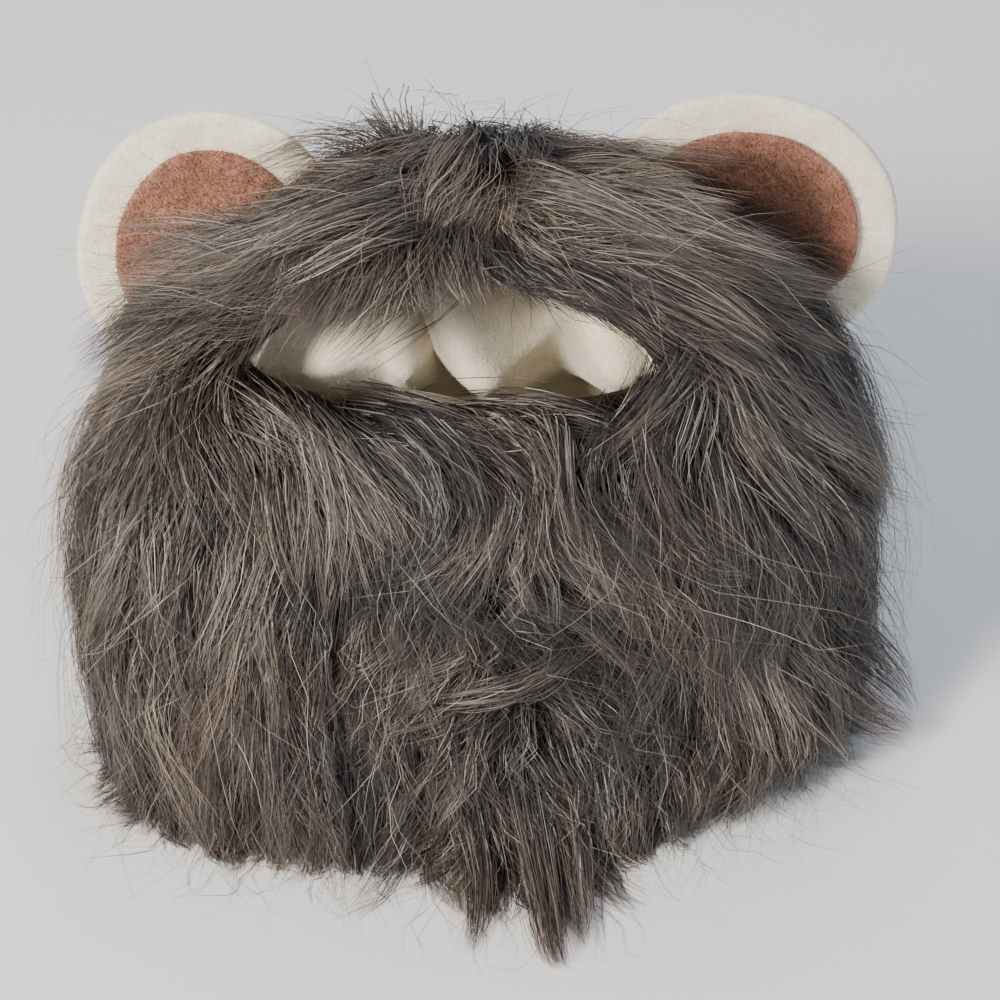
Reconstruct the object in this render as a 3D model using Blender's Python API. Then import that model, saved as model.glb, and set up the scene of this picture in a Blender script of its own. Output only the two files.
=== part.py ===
"""Pet lion mane: a faux fur hood that stands on its hem, with an opening for the face.

The hood is a dome on an oval hem, whose front slopes back. A fleece lining hangs inside
it, two padded ears stand in the fur of its shoulders, and below the face opening the
hood is cut to the hem, where one end laps over the other on a hook-and-loop tape.
Sizes are millimetres, and MM turns them into metres where a mesh is made. The front of
the mane faces -Y, and left and right are as seen from the front.
"""

import math
from collections import namedtuple

import bmesh
import bpy
from mathutils import Vector, noise

MM = 0.001

# The hood's backing from hem (share 0) to crown (share 1): an oval at each height,
# squared at its corners below, and with its left side further forward than its right.
Section = namedtuple("Section", "share height half_width front back rounding skew")
SECTIONS = (
    Section(0.00, 0.0, 90.0, -56.0, 42.0, 0.78, 0.13),
    Section(0.14, 23.0, 94.0, -51.0, 44.0, 0.79, 0.12),
    Section(0.28, 46.0, 95.0, -44.5, 46.0, 0.81, 0.10),
    Section(0.42, 69.0, 94.5, -37.0, 48.0, 0.85, 0.07),
    Section(0.56, 91.0, 92.0, -29.0, 50.0, 0.90, 0.03),
    Section(0.66, 107.0, 87.0, -22.0, 51.0, 0.95, 0.0),
    Section(0.75, 121.0, 79.0, -14.0, 52.0, 1.0, 0.0),
    Section(0.84, 135.0, 64.0, -4.0, 52.5, 1.0, 0.0),
    Section(0.91, 146.0, 46.0, 8.0, 52.0, 1.0, 0.0),
    Section(0.96, 152.5, 33.0, 18.0, 49.0, 1.0, 0.0),
    Section(1.00, 155.5, 19.0, 27.0, 44.0, 1.0, 0.0),
)
CROWN_RISE = 1.5

# Where the hem is drawn up off the floor, beside the tuft of the bib.
RAISE_ANGLE, RAISE_REACH, RAISE_HEIGHT, RAISE_SHARE = 52.0, 24.0, 8.0, 0.25

# Swells and hollows of the fur: where they are, how far they reach and how deep.
Fold = namedtuple("Fold", "name angle share angle_reach share_reach depth")
FOLDS = (
    Fold("left cheek swell", -58.0, 0.42, 22.0, 0.26, 6.0),
    Fold("chest hollow", 2.0, 0.30, 17.0, 0.10, -7.0),
    Fold("chest swell", 2.0, 0.52, 20.0, 0.11, 6.0),
    Fold("hem roll", 38.0, 0.08, 26.0, 0.09, 7.0),
    Fold("valley over hem roll", 40.0, 0.25, 26.0, 0.07, -7.0),
    Fold("right cheek swell", 58.0, 0.48, 24.0, 0.16, 7.0),
    Fold("nape hollow", 180.0, 0.45, 40.0, 0.16, -4.0),
)
FOLDS_END = (0.62, 0.72)

# Columns round the hood, and the ones at the corners of the face opening.
SEAM_ANGLE = -24.0
SEAM_SLANT = 8.0
COLUMNS = 60
RIGHT_CORNER, LEFT_CORNER = 10, 56
OPENING_MIDDLE, OPENING_HALF = -6.0, 42.0
CORNER_SHARE, SILL_SHARE, LINTEL_SHARE = 0.735, 0.705, 0.885

# Gaps between pieces, cloth walls, and the lap under the chin.
SEWN_GAP, LINING_GAP = 0.45, 0.8
LINING_WALL = 1.8
LAP_WALL, TAPE_WALL = 2.2, 1.6
LAP_LIFT = LAP_WALL + TAPE_WALL + 2 * SEWN_GAP
LAP_COLUMNS, LAP_STEP = 2, 5.0
LIFT_FROM, LIFT_TO = 11.0, 18.0

# Locks: each tier has a row of roots, a row of bellies and a row of tips.
ROOT_DEPTH, TIP_DEPTH, NOTCH_DEPTH = 0.50, 0.98, 0.66
BELLY_AT, TIP_PAST, NOTCH_BACK = 0.55, 0.34, 0.14
WAVER, WAVER_PACE = 0.7, 2.6
SHOULDER, SHOULDER_TIPS = (0.35, 0.95), 0.5
LOW_TIERS, CROWN_TIERS = 5, 3
SILL_DEPTH, LINTEL_DEPTH, EDGE_DEPTH = 0.40, 0.60, 0.70
HEM_RING, HEM_LIFT = 5.0, 1.5

# The pile round the hood: its depth below the opening and on the crown, how far the
# tips sweep round in degrees, and how far the hem's tips are lifted off the floor.
Pile = namedtuple("Pile", "angle low crown sweep hem_lift")
PILES = (
    Pile(-180.0, 11.0, 10.0, 0.0, 0.0),
    Pile(-120.0, 12.0, 9.0, 0.0, 1.0),
    Pile(-80.0, 15.0, 9.0, -1.5, 2.0),
    Pile(-45.0, 16.0, 14.0, -0.5, 2.0),
    Pile(-24.0, 15.0, 20.0, 0.0, 6.0),
    Pile(-6.0, 17.0, 17.0, 0.5, 2.0),
    Pile(12.0, 18.0, 20.0, 0.5, 0.0),
    Pile(30.0, 17.0, 18.0, 2.0, 4.0),
    Pile(55.0, 17.0, 14.0, 3.0, 4.0),
    Pile(90.0, 15.0, 9.0, 2.0, 2.0),
    Pile(130.0, 12.0, 9.0, 0.0, 1.0),
    Pile(180.0, 11.0, 10.0, 0.0, 0.0),
)

# The pointed tuft of the bib, which reaches forward on the floor.
TUFT_ANGLE, TUFT_REACH, TUFT_LENGTH, TUFT_SHARE = 4.0, 9.0, 34.0, 0.11

# The ears: ovals whose plane leans back, with roots buried in the pile.
Ear = namedtuple("Ear", "name side centre_x centre_z half_width half_height")
EARS = (
    Ear("left_ear", -1, 73.0, 122.5, 37.0, 40.5),
    Ear("right_ear", 1, 71.0, 130.5, 42.5, 38.5),
)
EAR_LEAN, EAR_DEPTH = math.radians(16.0), 40.0
EAR_THICKNESS, EAR_CUP, EAR_ROOT = 7.0, 5.0, 3.0
EAR_SPOKES, EAR_RINGS = 24, 4
PATCH_WALL, PATCH_INSET = 1.5, 11.0

# The lining's rows below and above the opening: the way from its lower to its upper
# edge in front, the share of the height behind, and the share of the half depth that
# its back has sagged forward by, with the drop that goes with it.
LiningRow = namedtuple("LiningRow", "front_way back_share sag drop")
LINING_LOW = (
    LiningRow(0.00, 0.01, 0.0, 0.0),
    LiningRow(0.24, 0.17, 0.0, 0.0),
    LiningRow(0.48, 0.34, 0.02, 0.0),
    LiningRow(0.68, 0.50, 0.22, 3.0),
    LiningRow(0.86, 0.61, 0.76, 12.0),
    LiningRow(1.00, 0.66, 1.0, 10.0),
)
LINING_TOP = (
    LiningRow(0.00, 0.66, 1.0, 10.0),
    LiningRow(0.22, 0.74, 0.88, 5.0),
    LiningRow(0.44, 0.81, 0.72, 1.5),
    LiningRow(0.66, 0.87, 0.50, 0.0),
    LiningRow(0.86, 0.93, 0.22, 0.0),
    LiningRow(1.00, 0.985, 0.0, 0.0),
)
SAG_SIDE, SAG_FULL = 0.0, 0.60
PLEATS_SIDE, PLEATS_FULL = 0.45, 0.85
Pleat = namedtuple("Pleat", "place slant reach depth")
PLEATS = (
    Pleat(-27.0, -0.40, 7.0, -3.0),
    Pleat(-10.0, -0.80, 7.0, 6.0),
    Pleat(17.0, -0.30, 9.0, -6.0),
    Pleat(38.0, 0.20, 8.0, 5.0),
)
PLEATS_FROM = 116.0

COLOURS = {
    "fur": (0.105, 0.078, 0.062, 1.0),
    "fleece": (0.80, 0.73, 0.58, 1.0),
    "patch": (0.42, 0.165, 0.085, 1.0),
    "tape": (0.10, 0.085, 0.075, 1.0),
}


def clear_scene():
    """Removes every object that the opened file holds."""
    for thing in list(bpy.data.objects):
        bpy.data.objects.remove(thing)


def smooth_step(low, high, value):
    """0 below low, 1 above high, and an even curve between them."""
    share = min(1.0, max(0.0, (value - low) / (high - low)))
    return share * share * (3 - 2 * share)


def mix(low, high, share):
    return low + (high - low) * share


def from_table(table, value):
    """The row of a table at a value of its first column, on a smooth curve."""
    last = len(table) - 1
    value = min(table[last][0], max(table[0][0], value))
    row = next(i for i in range(last) if value <= table[i + 1][0])
    low, high = table[row], table[row + 1]
    before, after = table[max(row - 1, 0)], table[min(row + 2, last)]
    span = high[0] - low[0]
    way = (value - low[0]) / span
    cube, square = way**3, way**2
    values = []
    for b, l, h, a in zip(before, low, high, after):
        slope_low = (h - b) / (high[0] - before[0]) * span
        slope_high = (a - l) / (after[0] - low[0]) * span
        start = (2 * cube - 3 * square + 1) * l + (cube - 2 * square + way) * slope_low
        values.append(start + (3 * square - 2 * cube) * h + (cube - square) * slope_high)
    return type(low)(*values)


def turned(angle):
    """An angle between -180 and 180 degrees."""
    return (angle + 180.0) % 360.0 - 180.0


def fold_depth(angle, share):
    """How far the fur swells out at a place, from the table of folds."""
    depth = 0.0
    for fold in FOLDS:
        across = turned(angle - fold.angle) / fold.angle_reach
        along = (share - fold.share) / fold.share_reach
        depth += fold.depth * math.exp(-across * across - along * along)
    return depth * (1 - smooth_step(*FOLDS_END, share))


def hood_point(angle, share):
    """A point of the hood's backing: angle 0 is the front and 90 the right side."""
    section = from_table(SECTIONS, share)
    turn = math.radians(angle)
    middle, depth = (section.front + section.back) / 2, (section.back - section.front) / 2
    across, along = math.sin(turn), -math.cos(turn)
    x = section.half_width * math.copysign(abs(across) ** section.rounding, across)
    y = middle + depth * math.copysign(abs(along) ** section.rounding, along)
    near = math.exp(-((turned(angle - RAISE_ANGLE) / RAISE_REACH) ** 2))
    raised = RAISE_HEIGHT * near * (1 - smooth_step(0, RAISE_SHARE, share))
    return Vector((x, y + section.skew * x, section.height + raised))


def outward(angle, share):
    """The way that the pile stands out of the backing at a place."""
    share = min(share, 0.985)
    step = 0.01
    along = hood_point(angle + 1, share) - hood_point(angle - 1, share)
    up = hood_point(angle, share + step) - hood_point(angle, max(share - step, 0.0))
    return along.cross(up).normalized()


def base_angle(column):
    return SEAM_ANGLE + column * 360.0 / COLUMNS


def column_angle(column, share):
    """The angle of a column, which slants with the seam under the opening."""
    angle = base_angle(column)
    near = math.exp(-((turned(angle - SEAM_ANGLE) / 14.0) ** 2))
    return angle + SEAM_SLANT * near * max(1 - share / SILL_SHARE, 0.0)


def in_opening(column):
    return column < RIGHT_CORNER or column > LEFT_CORNER


def opening_edge(column, middle_share):
    """The share at the opening's edge: the corner's share beyond its ends."""
    across = turned(base_angle(column) - OPENING_MIDDLE) / OPENING_HALF
    if abs(across) >= 1:
        return CORNER_SHARE
    return mix(CORNER_SHARE, middle_share, (1 - across * across) ** 0.5)


def low_cells(rows):
    """The cells below the opening, cut along the seam from the opening to the hem."""
    for r in range(rows):
        for c in range(COLUMNS):
            yield ("low", r, c), ("low", r + 1, c), ("low", r + 1, c + 1), ("low", r, c + 1)


def crown_key(row, column, last_row):
    """The key of a crown point, which is the low part's beside the opening."""
    column %= COLUMNS
    if row == last_row and not in_opening(column):
        return "low", 0, column
    return "crown", row, column


def crown_cells(rows):
    """The cells from the crown's middle, a fan, down to the opening."""
    for c in range(COLUMNS):
        yield ("crown", 0, c), ("crown", 0, (c + 1) % COLUMNS), ("crown", "middle", 0)
        for r in range(rows):
            yield (
                crown_key(r, c, rows),
                crown_key(r + 1, c, rows),
                crown_key(r + 1, c + 1, rows),
                crown_key(r, c + 1, rows),
            )


def thick_sheet(name, cells, outer, inner):
    """A closed body between two layers of points, with walls round each open edge."""
    mesh = bmesh.new()
    layers = []
    for points in (outer, inner):
        layers.append({key: mesh.verts.new(point * MM) for key, point in points.items()})
    edges = set()
    for cell in cells:
        mesh.faces.new([layers[0][key] for key in cell])
        mesh.faces.new([layers[1][key] for key in reversed(cell)])
        edges.update(zip(cell, cell[1:] + cell[:1]))
    for start, end in edges:
        if (end, start) not in edges:
            wall = (layers[0][end], layers[0][start], layers[1][start], layers[1][end])
            mesh.faces.new(wall)
    bmesh.ops.recalc_face_normals(mesh, faces=mesh.faces)
    data = bpy.data.meshes.new(name)
    mesh.to_mesh(data)
    mesh.free()
    data.shade_smooth()
    data.set_sharp_from_angle(angle=math.radians(50))
    made = bpy.data.objects.new(name, data)
    bpy.context.scene.collection.objects.link(made)
    return made


def lap_lift(column):
    """How far the upper end of the mane rides over the lower end and the tape."""
    before_seam = (COLUMNS - column) * 360.0 / COLUMNS
    return LAP_LIFT * (1 - smooth_step(LIFT_FROM, LIFT_TO, before_seam))


def waver(column, tiers, way):
    """How far a tier rises and falls round the hood, which leaves its ends in place."""
    turn = 2 * math.pi * column / COLUMNS
    rise = noise.noise(Vector((WAVER_PACE * math.cos(turn), WAVER_PACE * math.sin(turn), tiers)))
    return WAVER * rise * 4 * way * (1 - way) / tiers if 0 < way < 1 else 0.0


def lock(tier, tiers, part, column, rim):
    """A lock's point: its way down the fall, its share of the depth, and its sweep."""
    pointed = (column + tier) % 2 == 0
    wander = 0.0 if rim else noise.noise(Vector((column * 1.7, tier * 2.3, tiers)))
    if part == 0:
        return tier / tiers, ROOT_DEPTH * (1 + 0.3 * wander), 0.0
    if part == 1:
        return (tier + BELLY_AT) / tiers, 1 + 0.25 * wander, 0.4
    past = TIP_PAST * (1 + 0.6 * wander) if pointed else -NOTCH_BACK
    depth = TIP_DEPTH if pointed else NOTCH_DEPTH
    return (tier + 1 + past * (not rim)) / tiers, depth * (1 + 0.15 * wander), 1.0


def level(angle, share):
    """The pile's direction at a place, without its rise."""
    out = outward(angle, share)
    return Vector((out.x, out.y, 0.0)).normalized()


def tuft_length(angle, share):
    across = turned(angle - TUFT_ANGLE) / TUFT_REACH
    return TUFT_LENGTH * math.exp(-across * across) * (1 - smooth_step(0, TUFT_SHARE, share))


def low_point(column, row, rows):
    """An outer point of the fur below the opening."""
    top = opening_edge(column, SILL_SHARE)
    lift = lap_lift(column)
    if row == rows:
        ring = HEM_RING if column else LAP_WALL
        angle = column_angle(column, 0.0)
        return hood_point(angle, 0.0) + level(angle, 0.0) * (lift + ring)
    rim = column in (0, COLUMNS)
    way, share_of_depth, sweep = lock(row // 3, LOW_TIERS, row % 3, column, rim)
    way += waver(column, LOW_TIERS, way)
    pile = from_table(PILES, turned(column_angle(column, 0.3)))
    depth = pile.low
    if row == 0 and in_opening(column):
        share_of_depth = SILL_DEPTH
    if column == 0:
        depth, share_of_depth = LAP_WALL, 1.0
    if column == 1:
        depth *= 0.6
    if column == COLUMNS:
        share_of_depth *= EDGE_DEPTH
    if column in (0, 1, COLUMNS):
        sweep = 0.0
    share = max(top * (1 - way), 0.0)
    angle = column_angle(column, share) + pile.sweep * sweep
    swell = fold_depth(angle, share) if 0 < column < COLUMNS else 0.0
    stand = lift + depth * share_of_depth + swell
    point = hood_point(angle, share) + outward(angle, share) * stand
    if column and row >= rows - 2:
        point += level(angle, share) * tuft_length(angle, share) * (row - rows + 3) / 2
    if row == rows - 1:
        point.z += pile.hem_lift + (column % 2) * 2.0 + HEM_LIFT
    point.z = max(point.z, HEM_LIFT)
    return point


def low_points():
    """The fur's outer and inner points below the opening, from the sill to the hem."""
    outer, inner = {}, {}
    rows = LOW_TIERS * 3
    for r in range(rows + 1):
        for c in range(COLUMNS + 1):
            share = opening_edge(c, SILL_SHARE) * (1 - r / rows)
            angle = column_angle(c, share)
            out = level(angle, 0.0) if r == rows else outward(angle, share)
            inner["low", r, c] = hood_point(angle, share) + out * lap_lift(c)
            outer["low", r, c] = low_point(c, r, rows)
        for k in range(1, LAP_COLUMNS + 1):
            share = opening_edge(0, SILL_SHARE) * (1 - r / rows)
            angle = column_angle(0, share) - LAP_STEP * k
            out = level(angle, 0.0) if r == rows else outward(angle, share)
            inner["lap", r, k] = hood_point(angle, share)
            outer["lap", r, k] = inner["lap", r, k] + out * LAP_WALL
    return outer, inner


def crown_points():
    """The fur's outer and inner points from the crown's middle to the opening."""
    outer, inner = {}, {}
    rows = CROWN_TIERS * 3
    for c in range(COLUMNS):
        bottom = opening_edge(c, LINTEL_SHARE)
        pile = from_table(PILES, turned(base_angle(c)))
        for r in range(rows + 1):
            key = crown_key(r, c, rows)
            if key[0] == "low":
                continue
            way, share_of_depth, sweep = lock(r // 3, CROWN_TIERS, r % 3, c, False)
            way += waver(c, CROWN_TIERS, way)
            if r == rows:
                way, share_of_depth, sweep = 1.0, LINTEL_DEPTH, 0.0
            if r == 0:
                share_of_depth = 0.9
            beside = not in_opening(c)
            if beside and way > 1:
                way = mix(1.0, way, SHOULDER_TIPS)
            depth = mix(pile.crown, pile.low, smooth_step(*SHOULDER, way) * beside)
            share = mix(1.0, bottom, way)
            angle = base_angle(c) + pile.sweep * sweep
            inner[key] = hood_point(base_angle(c), mix(1.0, bottom, r / rows))
            outer[key] = hood_point(angle, share)
            outer[key] += outward(angle, share) * depth * share_of_depth
    top = SECTIONS[-1]
    middle = Vector((0.0, (top.front + top.back) / 2, top.height + CROWN_RISE))
    inner["crown", "middle", 0] = middle
    outer["crown", "middle", 0] = middle + Vector((0.0, 0.0, PILES[0].crown))
    return outer, inner


def fur_hood():
    """The fur as one body: a backing with tiers of pointed locks fused to it."""
    outer, inner = low_points()
    for points, more in zip((outer, inner), crown_points()):
        points.update(more)
    rows = LOW_TIERS * 3
    cells = list(low_cells(rows)) + list(crown_cells(CROWN_TIERS * 3))
    for r in range(rows):
        above, below = ("low", r, 0), ("low", r + 1, 0)
        for k in range(1, LAP_COLUMNS + 1):
            cells.append((("lap", r, k), ("lap", r + 1, k), below, above))
            above, below = ("lap", r, k), ("lap", r + 1, k)
    return thick_sheet("fur_hood", cells, outer, inner)


def pleat_push(x, z):
    """How far the lining's pleats stand forward where it hangs behind the opening."""
    push = 0.0
    for pleat in PLEATS:
        place = pleat.place + pleat.slant * (z - PLEATS_FROM)
        push += pleat.depth * math.exp(-(((x - place) / pleat.reach) ** 2))
    return push


def lining_point(column, row, part):
    """A point of the lining's outer face, a small gap inside the fur's backing."""
    facing_back = -math.cos(math.radians(base_angle(column)))
    if part == "low":
        front_share = opening_edge(column, SILL_SHARE) * mix(0.012, 1.0, row.front_way)
    else:
        top = LINING_TOP[-1].back_share
        front_share = mix(opening_edge(column, LINTEL_SHARE), top, row.front_way)
    share = mix(front_share, row.back_share, smooth_step(-0.10, 0.60, facing_back))
    angle = column_angle(column, share)
    if part == "low" and column in (0, COLUMNS):
        angle += 0.5 if column == 0 else -0.5
    point = hood_point(angle, share) - outward(angle, share) * LINING_GAP
    hang = smooth_step(SAG_SIDE, SAG_FULL, facing_back)
    middle = hood_point(90.0, share).y
    point.y -= max(point.y - middle, 0.0) * row.sag * hang
    pleated = row.sag * smooth_step(PLEATS_SIDE, PLEATS_FULL, facing_back)
    return point - Vector((0.0, pleat_push(point.x, point.z) * pleated, row.drop * hang))


def wall_inside(cells, points, wall):
    """The points of a sheet's inner face, a wall's thickness behind its outer face."""
    mesh = bmesh.new()
    verts = {key: mesh.verts.new(point) for key, point in points.items()}
    for cell in cells:
        mesh.faces.new([verts[key] for key in cell])
    mesh.normal_update()
    middle = sum(points.values(), Vector()) / len(points)
    lowest = min(verts.values(), key=lambda vert: vert.co.y)
    side = 1 if lowest.normal.dot(lowest.co - middle) > 0 else -1
    inside = {key: vert.co - vert.normal * wall * side for key, vert in verts.items()}
    mesh.free()
    return inside


def hood_lining():
    """The fleece lining: a thin bag with the face opening, open at the neck."""
    low, top = tuple(reversed(LINING_LOW)), tuple(reversed(LINING_TOP))
    points = {}
    for c in range(COLUMNS + 1):
        for r, row in enumerate(low):
            points["low", r, c] = lining_point(c, row, "low")
    for c in range(COLUMNS):
        for r, row in enumerate(top):
            key = crown_key(r, c, len(top) - 1)
            if key[0] == "crown":
                points[key] = lining_point(c, row, "top")
    crown = SECTIONS[-1]
    height = crown.height + CROWN_RISE - LINING_GAP - 1.0
    points["crown", "middle", 0] = Vector((0.0, (crown.front + crown.back) / 2, height))
    cells = list(low_cells(len(low) - 1)) + list(crown_cells(len(top) - 1))
    return thick_sheet("hood_lining", cells, points, wall_inside(cells, points, LINING_WALL))


def section_at_height(height):
    """The hood's section at a height, found by halving its share."""
    low, high = 0.0, 1.0
    for _ in range(14):
        share = (low + high) / 2
        if from_table(SECTIONS, share).height < height:
            low = share
        else:
            high = share
    return from_table(SECTIONS, low)


def ear_place(row, turn, distance, stand_off):
    """A point of an ear from its centre, in its leaning plane, stood off that plane."""
    x = row.centre_x + distance * math.cos(turn)
    up = distance * math.sin(turn)
    y = EAR_DEPTH + up * math.sin(EAR_LEAN) + stand_off * math.cos(EAR_LEAN)
    z = row.centre_z + up * math.cos(EAR_LEAN) - stand_off * math.sin(EAR_LEAN)
    return Vector((x * row.side, y, z))


def ear_reach(row, turn, grow, root):
    """How far an ear reaches from its centre: to its rim, or to its root in the pile."""
    width, height = row.half_width + grow, row.half_height + grow
    rim = 1 / math.hypot(math.cos(turn) / width, math.sin(turn) / height)
    steps = 120
    for i in range(steps):
        distance = rim * i / steps
        point = ear_place(row, turn, distance, 0.0)
        section = section_at_height(point.z)
        middle, depth = (section.front + section.back) / 2, (section.back - section.front) / 2
        across = abs(point.x) / (section.half_width + root)
        along = abs(point.y - section.skew * point.x - middle) / (depth + root)
        if across ** (2 / section.rounding) + along ** (2 / section.rounding) < 1:
            return max(distance, 4.0)
    return rim


def ear_body(name, row, front, back, grow, root, rounded):
    """A cupped disc between two stand-offs, thinned to its rim when it is rounded."""
    layers = ({}, {})
    cells = []
    middle = (front + back) / 2
    for i in range(EAR_SPOKES):
        turn = 2 * math.pi * i / EAR_SPOKES
        reach = ear_reach(row, turn, grow, root)
        full = ear_reach(row, turn, 0.0, EAR_ROOT)
        for j in range(EAR_RINGS):
            share = ((j + 1) / EAR_RINGS) ** 0.8
            cup = EAR_CUP * max(1 - (share * reach / full) ** 2, 0.0)
            swell = mix(0.3, 1.0, math.sqrt(max(1 - share**5, 0.0))) if rounded else 1.0
            for points, stand_off in zip(layers, (front, back)):
                off = middle + (stand_off - middle) * swell
                points[j, i] = ear_place(row, turn, share * reach, off + cup)
        after = (i + 1) % EAR_SPOKES
        cells.append(((0, i), (0, after), "centre"))
        for j in range(EAR_RINGS - 1):
            cells.append(((j, i), (j + 1, i), (j + 1, after), (j, after)))
    for points, stand_off in zip(layers, (front, back)):
        points["centre"] = ear_place(row, 0.0, 0.0, stand_off + EAR_CUP)
    return thick_sheet(name, cells, *layers)


def ears(hood):
    """Both ears with their coloured insides, each in a slot of the fur."""
    made = []
    half = EAR_THICKNESS / 2
    inside = -half - SEWN_GAP
    face = inside - PATCH_WALL
    for row in EARS:
        made.append(ear_body(row.name, row, -half, half, 0.0, EAR_ROOT, True))
        patch = row.name + "_patch"
        made.append(ear_body(patch, row, face, inside, -PATCH_INSET, EAR_ROOT, False))
        slot = row.name + "_slot"
        root = EAR_ROOT - SEWN_GAP
        cutter = ear_body(slot, row, face - SEWN_GAP, half + SEWN_GAP, SEWN_GAP, root, False)
        cutter.hide_render = True
        cutter.display_type = "WIRE"
        cut = hood.modifiers.new(slot, "BOOLEAN")
        cut.operation = "DIFFERENCE"
        cut.solver = "EXACT"
        cut.object = cutter
        made.append(cutter)
    return made


def closure_tape():
    """The hook-and-loop tape, flat between the two lapped ends of the mane."""
    outer, inner, cells = {}, {}, []
    for i in range(7):
        for j in range(3):
            share = mix(0.30, 0.60, i / 6)
            angle = column_angle(0, share) - mix(2.0, 8.0, j / 2)
            out = outward(angle, share)
            inner[i, j] = hood_point(angle, share) + out * (LAP_WALL + SEWN_GAP)
            outer[i, j] = inner[i, j] + out * TAPE_WALL
            if i and j:
                cells.append(((i - 1, j - 1), (i, j - 1), (i, j), (i - 1, j)))
    return thick_sheet("closure_tape", cells, outer, inner)


def painted(thing, name, roughness):
    """Gives a piece its own plain material."""
    material = bpy.data.materials.new(thing.name)
    material.use_nodes = True
    shader = material.node_tree.nodes["Principled BSDF"]
    shader.inputs["Base Color"].default_value = COLOURS[name]
    shader.inputs["Roughness"].default_value = roughness
    shader.inputs["Metallic"].default_value = 0.0
    thing.data.materials.append(material)


def footprint_middle(pieces):
    """The middle of the box round the pieces, at the height of the floor."""
    bpy.context.view_layer.update()
    graph = bpy.context.evaluated_depsgraph_get()
    corners = []
    for piece in pieces:
        if not piece.hide_render:
            corners += [Vector(corner) for corner in piece.evaluated_get(graph).bound_box]
    lows = [min(corner[i] for corner in corners) for i in range(2)]
    highs = [max(corner[i] for corner in corners) for i in range(2)]
    return Vector(((lows[0] + highs[0]) / 2, (lows[1] + highs[1]) / 2, 0.0))


def build():
    clear_scene()
    hood = fur_hood()
    painted(hood, "fur", 0.6)
    lining = hood_lining()
    painted(lining, "fleece", 0.9)
    tape = closure_tape()
    painted(tape, "tape", 0.8)
    pieces = [hood, lining, tape]
    for piece in ears(hood):
        painted(piece, "patch" if piece.name.endswith("patch") else "fleece", 0.9)
        pieces.append(piece)
    middle = footprint_middle(pieces)
    for piece in pieces:
        piece.location = -middle


build()
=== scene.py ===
"""Looks of a pet lion mane: a long-pile faux fur hood with a fleece lining and two ears.

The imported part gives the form. The fur's solid is replaced by a knitted backing and by
joined strands that grow out of it, the lining and the ears by fine cloth and padding.
Sizes are millimetres in the hood's own frame, and Hood.place turns them into metres in
the part's frame. The front of the mane faces -Y, left and right are as seen from there.
"""

import logging
import math
from dataclasses import dataclass, field, replace
from enum import Enum
from typing import Sequence

import bpy
import numpy as np
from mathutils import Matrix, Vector, kdtree


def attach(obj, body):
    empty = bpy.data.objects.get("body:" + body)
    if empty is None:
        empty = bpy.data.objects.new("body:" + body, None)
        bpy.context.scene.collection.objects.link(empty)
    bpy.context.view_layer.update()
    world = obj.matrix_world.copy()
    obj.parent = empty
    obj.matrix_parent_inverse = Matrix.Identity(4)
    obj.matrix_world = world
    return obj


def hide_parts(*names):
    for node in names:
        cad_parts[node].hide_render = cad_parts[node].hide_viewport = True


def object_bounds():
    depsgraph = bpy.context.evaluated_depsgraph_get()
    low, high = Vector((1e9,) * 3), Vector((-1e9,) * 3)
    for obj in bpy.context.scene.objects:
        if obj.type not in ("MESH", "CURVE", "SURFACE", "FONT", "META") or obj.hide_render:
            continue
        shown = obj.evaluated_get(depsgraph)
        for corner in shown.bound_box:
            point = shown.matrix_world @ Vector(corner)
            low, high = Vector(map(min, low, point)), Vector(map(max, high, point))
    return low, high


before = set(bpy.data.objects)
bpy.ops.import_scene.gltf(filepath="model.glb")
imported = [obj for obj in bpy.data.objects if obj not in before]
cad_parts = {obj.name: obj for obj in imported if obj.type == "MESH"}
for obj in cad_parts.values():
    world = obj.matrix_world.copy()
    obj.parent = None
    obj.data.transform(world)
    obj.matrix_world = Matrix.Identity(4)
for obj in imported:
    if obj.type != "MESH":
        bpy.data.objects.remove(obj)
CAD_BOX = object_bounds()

LOG = logging.getLogger("mane")
Array = np.ndarray
MM = 0.001


def smooth_step(low: float, high: float, value: Array) -> Array:
    """0 below low, 1 above high, and an even curve between them."""
    share = np.clip((value - low) / (high - low), 0.0, 1.0)
    return share * share * (3 - 2 * share)


def mix(low: Array, high: Array, share: Array) -> Array:
    """A value between low and high."""
    return low + (high - low) * share


def turned(angle: Array) -> Array:
    """An angle between -180 and 180 degrees."""
    return (angle + 180.0) % 360.0 - 180.0


def unit(vectors: Array) -> Array:
    """Vectors of length 1 along the last axis."""
    return vectors / np.maximum(np.linalg.norm(vectors, axis=-1, keepdims=True), 1e-9)


def linear(red: float, green: float, blue: float) -> tuple[float, float, float]:
    """A colour of 0 to 255 a channel, as the eye reads it, in linear light."""
    return tuple((channel / 255.0) ** 2.2 for channel in (red, green, blue))


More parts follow.
